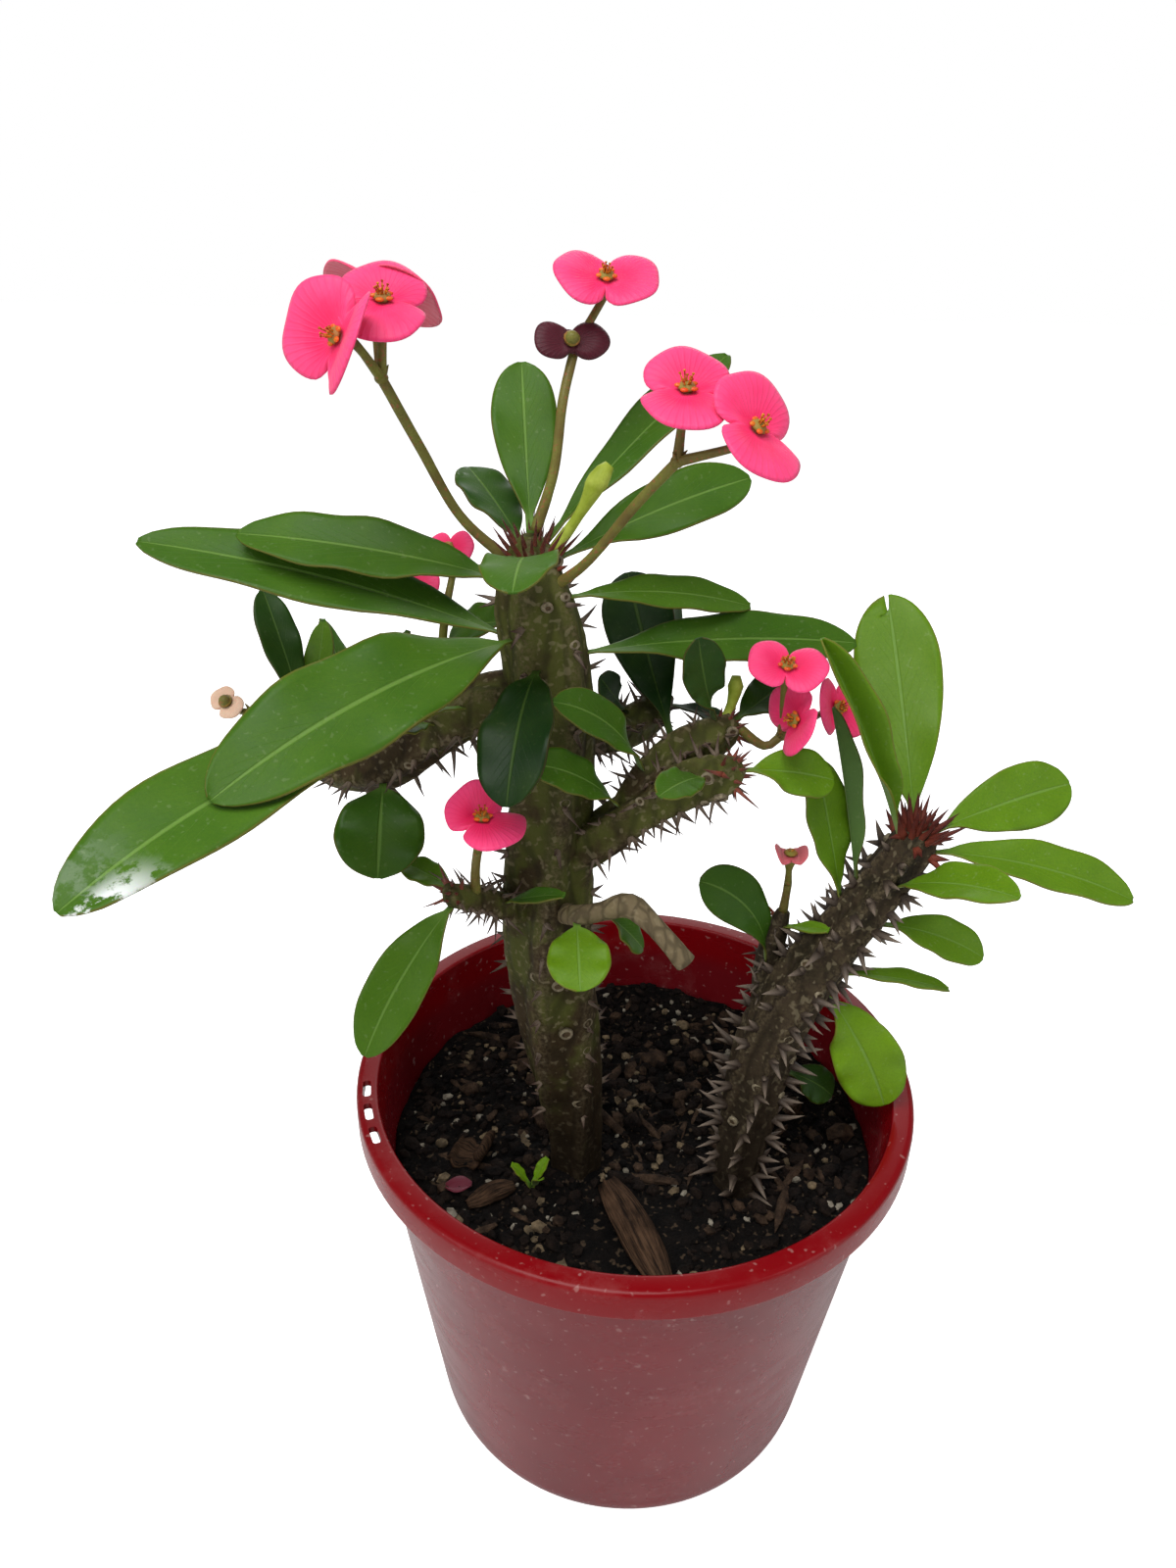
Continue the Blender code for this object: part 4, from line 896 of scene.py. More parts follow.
LEAF_TOP = leaf_material(
    "leaf_top", (32, 76, 18), (108, 146, 20), (112, 148, 66),
    coat=0.03, sheen=0.0, relief=(-0.7, -0.25), rough=(0.40, 0.54),
)
LEAF_UNDER = leaf_material(
    "leaf_underside", (70, 104, 58), (118, 152, 62), (150, 172, 110),
    coat=0.0, sheen=0.04, relief=(0.7, 0.25), rough=(0.52, 0.64),
)
PETAL_TOP = petal_material("petal_top", (240, 30, 96), (255, 84, 142))
PETAL_UNDER = petal_material("petal_underside", (206, 62, 98), (232, 116, 140))
TRUNK_SKIN = bark_material("trunk_skin", (72, 76, 28), (50, 37, 20), 120.0, 0.5)
SECOND_SKIN = bark_material("second_skin", (30, 24, 14), (52, 41, 30), 170.0, 0.4)
TWIG_SKIN = bark_material("dry_twig_skin", (128, 116, 84), (112, 98, 74), 240.0, 0.5)
SCAR = mottled_material("leaf_scar", (104, 94, 74), (158, 146, 122), 0.8, 500.0, 2600.0)
SCAR_HEART = mottled_material("leaf_scar_heart", (58, 46, 32), (96, 80, 58), 0.85, 500.0, 2600.0)
THORN = thorn_material("thorn", (112, 98, 84), (56, 34, 30), 0.55)
GREY_THORN = thorn_material("grey_thorn", (58, 48, 40), (122, 108, 95), 0.6)
STALK_SKIN = mottled_material(
    "stalk_skin", (102, 88, 44), (118, 120, 52), 0.5, 120.0, 1600.0, 0.4, 0.0004, 0.1, (150, 84, 60)
)
BUD_SKIN = mottled_material("bud_skin", (134, 150, 44), (170, 184, 78), 0.45, 200.0, 1600.0, 0.4, 0.0004)
CUP_SKIN = mottled_material("cup_skin", (140, 132, 58), (164, 104, 60), 0.45, 260.0, 2000.0, 0.4, 0.0003)
GLAND = mottled_material("gland", (214, 116, 30), (224, 60, 30), 0.35, 700.0, 2600.0, 0.4, 0.0002, 0.3)
STAMEN = mottled_material("stamen", (150, 18, 20), (222, 150, 40), 0.5, 900.0, 2600.0, 0.4, 0.0002)
LATEX = mottled_material("latex", (232, 232, 224), (250, 250, 246), 0.2, 300.0, 1600.0, 0.2, 0.0002, 0.6)
# The soil and its crumbs are coloured very dark: partly the soil's own colour, partly painted shade where light from
# above is blocked.
GROUND = mottled_material(
    "soil", (3, 2, 2), (20, 15, 12), 0.95, 160.0, 900.0, 1.0, 0.0016, speck=(92, 76, 60)
)
CRUMB = mottled_material("soil_crumb", (6, 4, 4), (38, 28, 22), 0.9, 140.0, 1300.0, 0.8, 0.001)
PERLITE = mottled_material("perlite", (104, 98, 86), (164, 156, 140), 0.8, 260.0, 1800.0, 0.8, 0.0006)
BARK_BITS = mottled_material("bark_bits", (30, 21, 15), (80, 62, 48), 0.85, 200.0, 1500.0, 0.8, 0.0008)
GRAVEL = mottled_material("gravel", (70, 60, 46), (132, 114, 88), 0.75, 260.0, 1500.0, 0.6, 0.0006)
BARK_CHIP = fibre_material("old_bark", (24, 16, 11), (96, 72, 54))
POT_PLASTIC = pot_material()


# Leaves


def fine_blade(leaf):
    """Rows of points over a leaf, rounded in its valley, wavy at its margins and sunk into the stem at its foot."""
    chance = random.Random(leaf.name)
    phase, waves = chance.uniform(0, math.tau), chance.uniform(2.2, 3.4)
    fold = math.radians(leaf.fold)
    bite_place, bite_depth = BITTEN.get(leaf.name, (0.0, 0.0))
    table = []
    for t, point, way in midrib(leaf):
        side, up = across(leaf, way, t)
        reach = half_width(leaf, t)
        row = []
        for j in range(-LEAF_COLUMNS // 2, LEAF_COLUMNS // 2 + 1):
            share = j / (LEAF_COLUMNS / 2)
            valley = reach * math.sin(fold) * (math.sqrt(share * share + 0.012) - 0.11)
            ripple = 0.045 * leaf.width * math.sin(waves * math.tau * t + phase + 0.8 * share) * share * share
            ripple *= math.sin(math.pi * min(1.0, t * 1.05)) ** 0.5 if t < 0.95 else 0.3
            spot = point + reach * share * math.cos(fold) * side + (valley + ripple) * up
            if bite_depth and t > BITE_START:
                depth = max(0.0, 1 - abs(share - bite_place) / 0.5) ** 0.45
                spot -= way * bite_depth * depth * (t - BITE_START) / 0.1
            row.append(spot)
        table.append(row)
    back = 2.6 + 0.12 * PATHS[leaf.stem].at(leaf.at)[3]
    way = direction(leaf.heading, leaf.rise)
    return [[point - way * back for point in table[0]], *table]


def make_leaf(leaf):
    # The second number of the shade is how much painted shade darkens the leaf.
    shade = (leaf.fresh, leaf.dark, leaf.chalk, 1.0)
    if leaf.fresh is None:
        shade = (0.72, 0.0, 0.0, 1.0) if leaf.stem.startswith("second") else (0.22, 0.08, 0.0, 1.0)
    obj = make_sheet(leaf.name + "_blade", fine_blade(leaf), [LEAF_TOP, LEAF_UNDER], BLADE_THICKNESS, shade=shade)
    if leaf.node:
        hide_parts(leaf.name)


# Flowers


def fine_petals(bloom):
    """Rings of points over a pair of petals, softly cupped and uneven at their margins."""
    centre, facing, along, other = bloom_frame(bloom)
    phase = random.Random(bloom.name).uniform(0, math.tau)
    rings = []
    for n in range(PETAL_RINGS + 1):
        t = n / PETAL_RINGS
        ring = []
        for angle in around(PETAL_SPOKES):
            edge = max(abs(math.cos(angle)) ** bloom.full, PETAL_WAIST)
            outer = bloom.radius * edge * (1 + 0.02 * math.sin(7 * angle + phase))
            r = PETAL_HOLE + (outer - PETAL_HOLE) * t
            x, y = r * math.cos(angle), r * math.sin(angle)
            over = max(0.0, abs(x) - PETAL_HINGE)
            lift = math.radians(bloom.lift_a if x > 0 else bloom.lift_b)
            x = math.copysign(abs(x) - over + over * math.cos(lift), x)
            cup = 0.09 * abs(y) * abs(y) / bloom.radius
            wave = 0.03 * bloom.radius * math.sin(3 * angle + phase) * t * t
            droop = -0.10 * bloom.radius * max(0.0, t - 0.55) ** 2 / 0.2
            height = over * math.sin(lift) + cup * t + wave + droop
            ring.append(centre + x * along + y * other + height * facing)
        rings.append(ring)
    return rings


def make_petals(name, bloom):
    shade = PETAL_SHADES.get(name, (0.0, 0.0, 0.0, 1.0))
    obj = make_sheet(
        bloom.name + "_pair", fine_petals(bloom), [PETAL_TOP, PETAL_UNDER], PETAL_THICKNESS, closed=True, shade=shade
    )
    if name not in FUSED_BLOOMS:
        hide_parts(bloom.name)


def make_hearts():
    """The small true flowers in the middle of each petal pair: a ring of glands round a tuft of stamens."""
    glands, stamens = bmesh.new(), bmesh.new()
    chance = random.Random(11)
    for name, bloom in BLOOMS.items():
        if name in SPENT_BLOOMS:
            continue
        centre, facing, along, other = bloom_frame(bloom)
        size = min(1.0, bloom.radius / 12)
        for n in range(GLANDS):
            out = circle(math.tau * (n + 0.3) / GLANDS, along, other)
            spot = centre + facing * 1.35 * size + out * 2.0 * size
            add_ball(glands, spot, 0.95 * size, (1.1, 0.75, 0.5), facing_turn(facing))
        for n in range(STAMENS):
            angle = math.tau * n / STAMENS + chance.uniform(-0.2, 0.2)
            lean = chance.uniform(0.1, 0.55)
            out = circle(angle, along, other)
            way = (facing + out * lean).normalized()
            length = chance.uniform(2.2, 3.6) * size
            foot = centre + facing * 1.0 * size + out * 0.5 * size
            place = Matrix.Translation(foot + way * length / 2) @ facing_turn(way)
            add_cone(stamens, 6, 0.26 * size, 0.16 * size, length, place)
            add_ball(stamens, foot + way * length, 0.42 * size, (1.0, 1.0, 0.7), facing_turn(way), 1)
    finished("flower_glands", glands, [GLAND])
    finished("flower_stamens", stamens, [STAMEN])


def make_stalk(stalk):
    """A flower stalk with its forks, small scales at the forks, cups and necks."""
    bm = bmesh.new()
    for n, path in enumerate(stalk_paths(stalk)):
        old = len(bm.faces)
        lay_grid(bm, tube_rings(path, STALK_SIDES, 0, STALK_ROUGHNESS), True)
        bm.faces.ensure_lookup_table()
        for face in bm.faces[old:]:
            face.material_index = 1 if n and n % 2 == 0 else 0
    close_ends(bm)
    fork = Vector(stalk.knots[-1])
    names = stalk.blooms.split()
    if len(names) > 1:
        add_ball(bm, fork, STALK_RADIUS * 1.35, (1.0, 1.0, 0.9))
    for n, name in enumerate(names):
        centre, facing, _, _ = bloom_frame(BLOOMS[name])
        if name in SPENT_BLOOMS:
            add_ball(bm, centre + facing * 0.8, 2.1, (1.0, 1.0, 1.2), facing_turn(facing))
        out = (centre - fork).normalized()
        aside = out.orthogonal().normalized() * (1 if n % 2 else -1)
        place = Matrix.Translation(fork + out * 1.5 + aside * 1.3) @ facing_turn((out + 0.55 * aside).normalized())
        add_cone(bm, 8, 1.0, 0.12, 3.4, place)
    face_outwards(bm)
    obj = finished(stalk.name + "_twig", bm, [STALK_SKIN, CUP_SKIN])
    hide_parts(stalk.name)


# Stems and thorns


def make_stem(name, skin, age_low, age_high):
    """One stem: ribbed and uneven, darkened near the soil by painted shade, corky where it is old."""
    stem = STEMS[name]
    path = Path(stem.knots, STEM_STEP)
    bm = bmesh.new()
    layer = bm.verts.layers.float_color.new("shade")
    sides = STEM_SIDES if path.radii[0] > 5 else SHOOT_SIDES
    rings = tube_rings(path, sides, stem.ribs, STEM_ROUGHNESS if stem.ribs else TWIG_ROUGHNESS)
    colours = []
    for ring, walked in zip(rings, path.walked):
        age = age_low + (age_high - age_low) * (walked / path.walked[-1])
        row = []
        for angle, point in zip(around(sides), ring):
            wave = math.cos(stem.ribs * (angle - math.radians(RIB_TWIST * walked)))
            ridge = max(0.0, wave) if stem.ribs else 0.2
            # Painted shade: the third number darkens the stem towards the soil, where light from above is blocked.
            painted_low_shade = max(0.0, min(0.7, (190 - point.z) / 90))
            row.append((age, ridge, painted_low_shade, 1.0))
        colours.append(row)
    lay_grid(bm, rings, True, colours=(layer, colours))
    close_ends(bm)
    face_outwards(bm)
    whole = name in ("trunk", "second_stem")
    obj = finished(name + ("_bark" if whole else ""), bm, [skin])
    if whole:
        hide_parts(name)


def add_thorn(bm, layer, foot, way, bend, length, thick, young):
    """One thorn: rings of a few corners that taper and curve to a point."""
    side = way.orthogonal().normalized()
    other = way.cross(side)
    table, colours = [], []
    for n in range(THORN_RINGS):
        t = n / (THORN_RINGS - 1)
        size = thick * (1 - t) ** 0.85 * (1.0 + 0.5 * max(0.0, 0.3 - t)) + 0.05
        middle = foot + way * length * t + bend * length * t * t
        table.append([middle + size * circle(angle, side, other) for angle in around(THORN_CORNERS)])
        colours.append([(t, young, 0.0, 1.0)] * THORN_CORNERS)
    lay_grid(bm, table, True, colours=(layer, colours))


def is_clear(near, foot, way, bend, length, room, lowest=0.0):
    """Whether the outer part of a thorn keeps clear of every leaf, petal and stalk, and of the soil."""
    spots = [foot + way * length * n / 5 + bend * length * (n / 5) ** 2 for n in range(2, 6)]
    return all(near.find(spot)[2] > room and spot.z > lowest for spot in spots)


def add_scar(bm, spot, out, size):
    """The round mark of a shed leaf: a pale raised ring round a darker hollow."""
    place = Matrix.Translation(spot) @ facing_turn(out) @ Matrix.Diagonal((size, size * 0.85, 1.0, 1.0))
    corners = 14
    ring = add_cone(bm, corners, 1.2, 0.95, 1.5, place)
    caps = {face for vert in ring for face in vert.link_faces if len(face.verts) == corners}
    top = max(caps, key=lambda face: face.calc_center_median().dot(out))
    bmesh.ops.inset_region(bm, faces=[top], thickness=0.55, depth=-0.45)
    top.material_index = 1


def make_thorns(near):
    """Pairs of thorns along every rib, the marks of shed leaves between them, and tufts round the tips."""
    chance = random.Random(23)
    kinds = ("trunk", "second")
    made = {kind: bmesh.new() for kind in kinds}
    layers = {kind: bm.verts.layers.float_color.new("shade") for kind, bm in made.items()}
    scars = {kind: bmesh.new() for kind in kinds}
    kind_of = {name: "second" if name.startswith("second") else "trunk" for name in STEMS}
    for name, first, spacing, length, thick, young_from in THORN_RULES:
        kind = kind_of[name]
        ribs, path = STEMS[name].ribs, Path(STEMS[name].knots, STEM_STEP)
        whole = path.walked[-1]
        for rib in range(ribs):
            distance = first * whole + chance.uniform(0, spacing)
            while distance < whole - 1.0:
                share = distance / whole
                point, tangent, side, radius = path.at(share)
                angle = math.tau * rib / ribs + math.radians(RIB_TWIST * distance)
                out = circle(angle, side, tangent.cross(side))
                young = 1.0 if share > young_from else 0.0
                for sign in (1, -1):
                    lean = sign * chance.uniform(0.15, 0.75)
                    aside = chance.uniform(-0.45, 0.45) * tangent.cross(out)
                    way = (out + lean * tangent * 0.8 + aside).normalized()
                    size = length * chance.uniform(0.5, 1.15) * (0.5 + 0.6 * share if name == "trunk" else 1.0)
                    foot = point + out * (radius * (1 + RIB_HEIGHT) - 0.9)
                    bend = tangent * chance.uniform(-0.10, 0.18)
                    if is_clear(near, foot, way, bend, size, THORN_CLEARANCE, SOIL_TOP + 1.5):
                        stout = thick * chance.uniform(0.8, 1.2)
                        add_thorn(made[kind], layers[kind], foot, way, bend, size, stout, young)
                if chance.random() < SCAR_CHANCE and radius > 5:
                    spot = point + out * radius * (1 + RIB_HEIGHT * 0.5) + tangent * 2.2
                    add_scar(scars[kind], spot, out, chance.uniform(1.3, 2.1))
                distance += spacing * chance.uniform(0.8, 1.2)
    for name, share, heading, size in SCARS:
        point, _, _, radius = PATHS[name].at(share)
        out = direction(heading, 0)
        add_scar(scars[kind_of[name]], point + out * radius * 1.02, out, size)
    for name, count, length, thick in TIP_THORNS:
        kind = kind_of[name]
        tip, tangent, side, radius = PATHS[name].at(0.985)
        for n in range(count):
            out = circle(n * GOLDEN_ANGLE, side, tangent.cross(side))
            lean = 0.25 + 0.75 * (n / count)
            way = (tangent + out * lean * 1.3).normalized()
            foot = tip + out * radius * lean * 0.8 - tangent * (1.0 + 3.0 * lean)
            size = length * chance.uniform(0.6, 1.1)
            if is_clear(near, foot, way, Vector(), size, TIP_CLEARANCE):
                add_thorn(made[kind], layers[kind], foot, way, tangent * 0.1, size, thick, 1.0)
    for kind, material in zip(kinds, (THORN, GREY_THORN)):
        close_ends(made[kind])
        face_outwards(made[kind])
        finished(f"{kind}_thorns", made[kind], [material])
    for kind in kinds:
        face_outwards(scars[kind])
        finished(f"{kind}_leaf_scars", scars[kind], [SCAR, SCAR_HEART])


def near_points():
    """Points over every leaf, petal and flower stalk, which the thorns keep clear of."""
    found = []
    for leaf in LEAVES:
        for row in fine_blade(leaf)[2:]:
            found += row
    for bloom in BLOOMS.values():
        for ring in fine_petals(bloom):
            found += ring[::3]
    for stalk in STALKS:
        for path in stalk_paths(stalk):
            for a, b in zip(path.points, path.points[1:]):
                found += [a.lerp(b, n / 4) for n in range(5)]
    tree = KDTree(len(found))
    for n, point in enumerate(found):
        tree.insert(point, n)
    tree.balance()
    return tree


# Pot and soil


def inner_radius(z):
    low = BASE_RADIUS - WALL
    return low + (RIM_RADIUS - RIM_WIDTH - low) * (z - BASE_WALL) / (POT_HEIGHT - BASE_WALL)


def rounded(corner, before, after, size, steps=5):
    """Points of a small round where two straight stretches of a profile meet."""
    corner, before, after = (Vector(p) for p in (corner, before, after))
    a = corner + (before - corner).normalized() * size
    b = corner + (after - corner).normalized() * size
    return [a.lerp(corner, t).lerp(corner.lerp(b, t), t) for t in [n / steps for n in range(steps + 1)]]


def turned(heading, x, z):
    """A place at a distance and a height, turned about the pot's middle."""
    return Matrix.Rotation(math.radians(heading), 4, "Z") @ Matrix.Translation((x, 0, z))


def make_pot():
    """The pot: a profile of rounded corners spun round, with slots in its rim and drain holes cut out."""
    lip, under = RIM_RADIUS - RIM_WIDTH, POT_HEIGHT - WALL - 0.6
    corners = [
        ((0, BASE_WALL), 0),
        ((BASE_RADIUS - WALL, BASE_WALL), 2.0),
        ((lip, POT_HEIGHT), 1.2),
        ((RIM_RADIUS, POT_HEIGHT), RIM_ROUND),
        ((RIM_RADIUS, POT_HEIGHT - RIM_DROP), 0.7),
        ((RIM_RADIUS - WALL, POT_HEIGHT - RIM_DROP), 0.5),
        ((RIM_RADIUS - WALL, under), 0.8),
        ((inner_radius(under) + WALL, under), 1.0),
        ((BASE_RADIUS + 0.6, 4.5), 1.5),
        ((BASE_RADIUS - 0.4, 0), 2.2),
        ((0, 0), 0),
    ]
    profile = []
    for n, (corner, size) in enumerate(corners):
        profile += rounded(corner, corners[n - 1][0], corners[n + 1][0], size) if size else [Vector(corner)]
    bm = bmesh.new()
    line = [bm.verts.new((p.x, 0, p.y)) for p in profile]
    edges = [bm.edges.new(pair) for pair in zip(line, line[1:])]
    bmesh.ops.spin(
        bm, geom=line + edges, cent=(0, 0, 0), axis=(0, 0, 1), angle=math.tau, steps=POT_SIDES, use_merge=True,
        use_duplicate=False,
    )
    bmesh.ops.remove_doubles(bm, verts=bm.verts, dist=0.01)
    face_outwards(bm)
    pot = finished("pot_shell", bm, [POT_PLASTIC])

    bm = bmesh.new()
    wide, long = SLOT_SIZE
    deep = 8.0
    middle = (lip + WALL + RIM_RADIUS - WALL) / 2
    for heading in SLOT_HEADINGS:
        place = turned(heading, middle, POT_HEIGHT - 2) @ Matrix.Diagonal((wide, long, deep, 1.0))
        bmesh.ops.create_cube(bm, size=1.0, matrix=place)
    upright = [e for e in bm.edges if abs(e.verts[0].co.z - e.verts[1].co.z) > 7]
    bmesh.ops.bevel(bm, geom=upright, offset=SLOT_ROUND, segments=4, profile=0.5, affect="EDGES", material=-1)
    for n in range(DRAIN_HOLES):
        add_cone(bm, 24, DRAIN_RADIUS, DRAIN_RADIUS, deep, turned(360 / DRAIN_HOLES * (n + 0.5), DRAIN_CIRCLE, 1))
    cutter = finished("pot_cutter", bm, [POT_PLASTIC])
    cut = pot.modifiers.new("openings", "BOOLEAN")
    cut.operation, cut.solver, cut.object = "DIFFERENCE", "EXACT", cutter
    settle(pot)
    bpy.data.objects.remove(cutter, do_unlink=True)
    soften(pot, CRISP_ANGLE)
    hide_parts("pot")


def chip_distance(x, y):
    """How far a place on the soil is from the nearest piece of bark."""
    return min(math.hypot(x - c.x, y - c.y) - c.y_size * 0.5 for c in CHIPS)


def ground_height(x, y):
    """The soil's height at a place: lumpy, but flat under the bark."""
    flat = min(1.0, max(0.0, (chip_distance(x, y) - 2) / 8.0))
    lump = SOIL_LUMP * (math.sin(x / 9.0 + 1.1) * math.sin(y / 11.0 + 0.4) + 0.5 * math.sin((x + y) / 5.0))
    rough = 1.7 * noise.noise(Vector((x, y, 0)) * 0.16) + 0.9 * noise.noise(Vector((x, y, 5)) * 0.45)
    return SOIL_TOP + lump * flat * 0.8 + rough * (0.3 + 0.7 * flat)


def make_soil():
    """The soil: rings of points from its middle to the pot's wall, then down to the base."""
    edge = inner_radius(SOIL_TOP - 1.0) - SOIL_WALL_GAP
    table = []
    for n in range(1, SOIL_RINGS + 1):
        r = edge * (n / SOIL_RINGS)
        spots = [(r * math.cos(angle), r * math.sin(angle)) for angle in around(SOIL_SIDES)]
        sunk = 1.2 if n == SOIL_RINGS else 0.0
        table.append([Vector((x, y, ground_height(x, y) - sunk)) for x, y in spots])
    low = BASE_WALL + GAP
    small = (inner_radius(low) - GAP) / edge
    table.append([Vector((p.x * small, p.y * small, low)) for p in table[-1]])
    bm = bmesh.new()
    lay_grid(bm, table, True)
    close_ends(bm)
    face_outwards(bm)
    soil = finished("soil_bed", bm, [GROUND])
    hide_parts("soil")


def soil_spots(chance, count, chip_gap):
    """Seeded places on the soil, clear of the stems and of the bark."""
    feet = [STEMS[name].knots[1] for name in ("trunk", "second_stem")]
    found = []
    while len(found) < count:
        r, heading = CRUMB_EDGE * math.sqrt(chance.random()), chance.uniform(0, 360)
        x, y = direction(heading, 0).xy * r
        if all(math.hypot(x - fx, y - fy) > fr + 1.5 for fx, fy, _, fr in feet) and chip_distance(x, y) > chip_gap:
            found.append((x, y))
    return found


def make_crumbs():
    """Loose bits on the soil: dark crumbs, pale perlite, and bigger chunks, gravel and splinters."""
    for name, material, count, low, high, slim, seed in (
        ("soil_crumbs", CRUMB, 1500, 0.7, 2.3, 1.0, 5),
        ("soil_grit", GROUND, 900, 0.6, 1.6, 1.0, 6),
        ("perlite_grains", PERLITE, 230, 0.6, 1.45, 1.0, 8),
        ("soil_chunks", BARK_BITS, 90, 2.0, 3.8, 1.01, 7),
        ("soil_gravel", GRAVEL, 150, 0.9, 1.9, 1.01, 12),
        ("soil_splinters", BARK_BITS, 90, 1.0, 2.0, 3.4, 9),
    ):
        chance = random.Random(seed)
        bm = bmesh.new()
        for x, y in soil_spots(chance, count, 2.0 if slim > 1.0 else -3.0):
            size = chance.uniform(low, high) * (1.0 if chance.random() < 0.85 else 1.5)
            turn = Matrix.Rotation(chance.uniform(0, math.tau), 4, "Z")
            turn = turn @ Matrix.Rotation(chance.uniform(-0.35, 0.35), 4, "Y")
            stretch = (chance.uniform(0.9, 1.4) * slim, chance.uniform(0.7, 1.0), chance.uniform(0.55, 0.85))
            if slim > 1.0 and math.hypot(x, y) > CHUNK_EDGE:
                continue
            spot = Vector((x, y, ground_height(x, y) + 0.25 * size))
            for vert in add_ball(bm, spot, size, stretch, turn, 1):
                vert.co += (vert.co - spot) * chance.uniform(-0.22, 0.22)
        face_outwards(bm)
        finished(name, bm, [material], smooth=False)


def make_chip(chip):
    """A split of old bark: a thick curved flake with ragged ends and long fibres."""
    sides, steps = 24, 30
    place = Matrix.Translation((chip.x, chip.y, SOIL_TOP + 0.1))
    place = place @ Matrix.Rotation(math.radians(chip.heading - 90), 4, "Z")
    table = []
    for n in range(steps + 1):
        share = 2 * n / steps - 1
        row = []
        for angle in around(sides):
            x, z = math.cos(angle), math.sin(angle)
            fibre = 1 + 0.16 * noise.noise(Vector((x * 3, z * 3, share * 1.2 + chip.x)))
            taper = 1 - 0.42 * abs(share) ** 2.5
            ragged = 1 + 0.07 * noise.noise(Vector((x * 4, z * 4, 9.0))) * abs(share) ** 4 * 4
            spot = Vector((
                0.5 * chip.x_size * x * taper * fibre,
                0.5 * chip.y_size * share * ragged,
                chip.z_size * (0.5 + 0.5 * z * (0.92 if z > 0 else 1.0)) * (1 - 0.3 * abs(share)) * fibre,
            ))
            spot.z += 0.9 * math.sin(share * 2.2 + 0.6) * (z > 0)
            row.append(place @ spot)
        table.append(row)
    bm = bmesh.new()
    lay_grid(bm, table, True, uv=bm.loops.layers.uv.new("blade"))
    close_ends(bm)
    face_outwards(bm)
    obj = finished(chip.name + "_flake", bm, [BARK_CHIP])
    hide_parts(chip.name)


# Small things that lie about


def make_pebbles():
    bm = bmesh.new()
    for x, y, size in ((23, 60, 2.9), (19, -68, 1.8), (64, -28, 1.8), (-70, -12, 2.2)):
        add_ball(bm, Vector((x, y, ground_height(x, y) + 1.0)), size, (1.1, 0.9, 0.8))
    finished("pebbles", bm, [GRAVEL])


def make_fallen_petal():
    """A dried petal lying on the soil."""
    x, y = -66, -34
    top = ground_height(x, y) + 2.2
    table = []
    for n in range(9):
        t = n / 8
        wide = 3.8 * math.sin(math.pi * (0.08 + 0.86 * t))
        table.append([Vector((x + 9 * t, y + wide * s + 2 * t, top + 1.6 * abs(s) - 1.0 * t)) for s in STRIP])
    make_sheet("fallen_petal", table, [PETAL_UNDER], 0.4, shade=(0.0, 0.9, 0.0, 1.0))


def make_curled_bark():
    """A thin flake of bark that has rolled up."""
    middle = Vector((-59, -17, SOIL_TOP + 5.5))
    table = []
    for n in range(15):
        curl = math.radians(200 * n / 14 - 40)
        edge = direction(70, 0) * (6.5 + 1.2 * math.sin(n * 1.3))
        spot = middle + Vector((math.cos(curl) * 6.0, -math.cos(curl) * 1.5, -math.sin(curl) * 4.8))
        table.append([spot + edge * s + Vector((0, 0, 0.5 * math.sin(n + 4 * s))) for s in STRIP])
    make_sheet("curled_bark", table, [BARK_CHIP], 1.3)


def make_seedling():
    """A tiny green shoot of three leaves."""
    shoot = Leaf("seedling", "trunk", 0.2, 60, 62, 9, 4.5, 20, 0, 0.55, 12, 0)
    for n, (x, y, heading) in enumerate(((-36, -31, 40), (-36, -31, 170), (-35, -30, 290))):
        name = f"seedling_{n}"
        blade = fine_blade(shoot._replace(heading=heading, name=name))
        move = Vector((x, y, ground_height(x, y) - 0.6)) - blade[0][LEAF_COLUMNS // 2]
        table = [[point + move for point in row] for row in blade]
        make_sheet(name, table, [LEAF_TOP, LEAF_UNDER], 0.4, shade=(1.0, 0.0, 0.0, 1.0))


def make_sap():
    """A drop of dried milky sap at a branch's end."""
    noise.seed_set(NOISE_SEED)
    bm = bmesh.new()
    for vert in add_ball(bm, Vector((25.0, -22.0, 282.0)), 1.7, (1.0, 1.0, 0.9)):
        vert.co += 0.15 * noise.noise_vector(vert.co)
    finished("milky_sap", bm, [LATEX])


for leaf in LEAVES:
    make_leaf(leaf)
for stalk in STALKS:
    make_stalk(stalk)
for name, bloom in BLOOMS.items():
    make_petals(name, bloom)
make_hearts()
for name, skin, age_low, age_high in (
    ("trunk", TRUNK_SKIN, 0.95, 0.15),
    ("branch_right", TRUNK_SKIN, 0.45, 0.3),
    ("branch_fork", TRUNK_SKIN, 0.4, 0.3),
    ("branch_back", TRUNK_SKIN, 0.5, 0.4),
    ("branch_left", TRUNK_SKIN, 0.7, 0.75),
    ("branch_low", TRUNK_SKIN, 0.45, 0.3),
    ("twig_dry", TWIG_SKIN, 0.6, 0.8),
    ("bud_top", BUD_SKIN, 0.2, 0.2),
    ("bud_side", BUD_SKIN, 0.2, 0.2),
    ("second_stem", SECOND_SKIN, 0.95, 0.4),
    ("second_side", SECOND_SKIN, 0.6, 0.5),
):
    make_stem(name, skin, age_low, age_high)
make_thorns(near_points())
make_pot()
make_soil()
make_crumbs()
for chip in CHIPS:
    make_chip(chip)
make_pebbles()
make_fallen_petal()
make_curled_bark()
make_seedling()
make_sap()


# Camera, floor and light


def put_in_scene(name, data):
    obj = bpy.data.objects.new(name, data)
    scene.collection.objects.link(obj)
    return obj


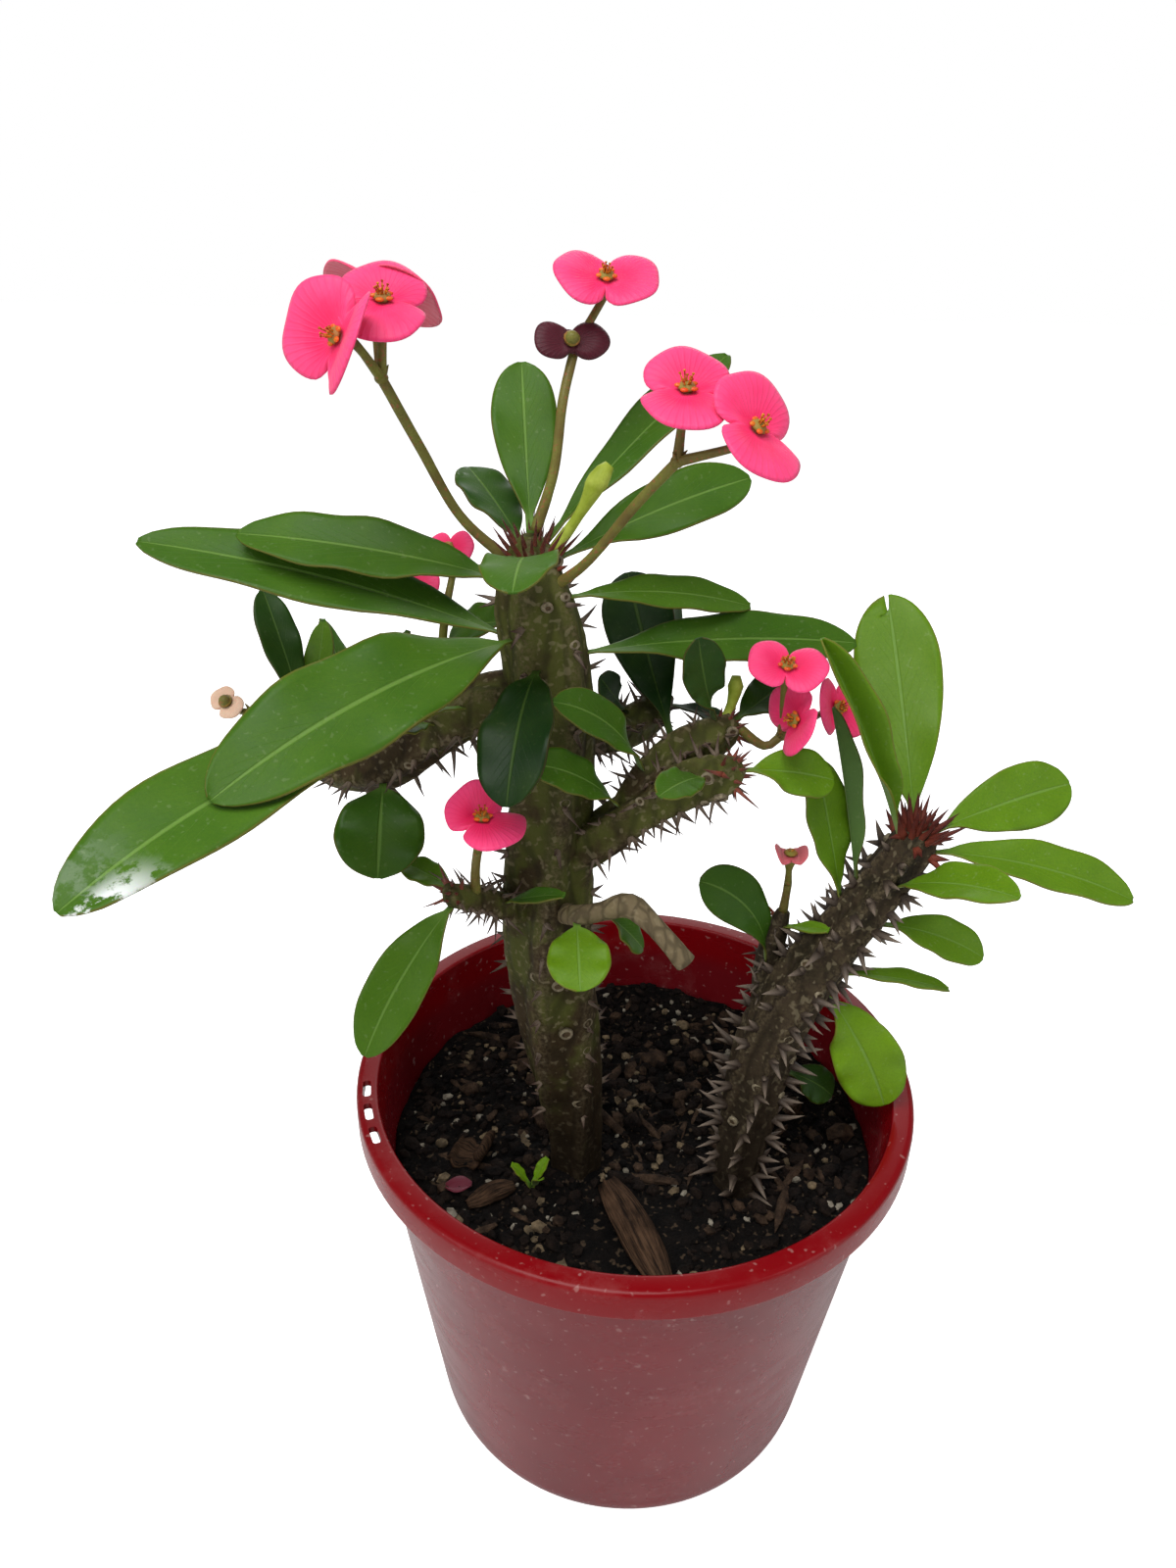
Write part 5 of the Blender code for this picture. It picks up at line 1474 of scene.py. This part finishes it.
camera_data = bpy.data.cameras.new("camera")
camera_data.sensor_width, camera_data.sensor_fit, camera_data.lens = SENSOR, "AUTO", LENS
camera = put_in_scene("camera", camera_data)
camera.location = CAMERA_PLACE
camera.rotation_euler = (
    Matrix.Rotation(math.radians(CAMERA_TILT), 3, "X") @ Matrix.Rotation(math.radians(CAMERA_ROLL), 3, "Z")
).to_euler()
scene.camera = camera

bm = bmesh.new()
bmesh.ops.create_grid(bm, x_segments=8, y_segments=8, size=4.0)
floor_mesh = bpy.data.meshes.new("floor")
bm.to_mesh(floor_mesh)
bm.free()
pale = mottled_material("pale_floor", (240, 240, 240), (248, 248, 248), 0.8, 2.0, 60.0, 0.05, 0.0002)
glow = Nodes(pale.node_tree)
plain = pale.node_tree.nodes["Principled BSDF"].outputs[0]
bright = glow.add("ShaderNodeEmission", {"Color": WHITE, "Strength": FLOOR_GLOW}).outputs[0]
lifted = glow.add("ShaderNodeAddShader", {0: plain, 1: bright}).outputs[0]
glow.put(pale.node_tree.nodes["Material Output"].inputs["Surface"], glow.by_view(plain, lifted))
floor_mesh.materials.append(pale)
put_in_scene("floor", floor_mesh)

world = bpy.data.worlds.new("studio")
world.use_nodes = True
sky = Nodes(world.node_tree)
lit, seen = (
    sky.add("ShaderNodeBackground", {"Color": WHITE, "Strength": strength}).outputs[0]
    for strength in (SKY_LIGHT, SKY_SEEN)
)
sky.put(world.node_tree.nodes["World Output"].inputs["Surface"], sky.by_view(lit, seen))
scene.world = world
for name, place, target, wide, tall, power in (
    ("top_light", (-0.25, -0.5, 1.5), (0, 0, 0.25), 1.1, 1.0, 19.0),
    ("left_light", (-1.1, -0.75, 0.75), (0, 0, 0.2), 0.7, 1.1, 5.0),
    ("right_light", (1.1, -0.65, 0.6), (0, 0, 0.2), 0.6, 1.0, 3.0),
    ("back_light", (0.1, 1.3, 0.9), (0, 0, 0.3), 1.2, 0.8, 5.0),
):
    lamp = bpy.data.lights.new(name, "AREA")
    lamp.shape, lamp.size, lamp.size_y, lamp.energy = "RECTANGLE", wide, tall, power
    holder = put_in_scene(name, lamp)
    holder.location = place
    holder.rotation_euler = (Vector(target) - Vector(place)).to_track_quat("-Z", "Y").to_euler()
scene.view_settings.view_transform = "Standard"
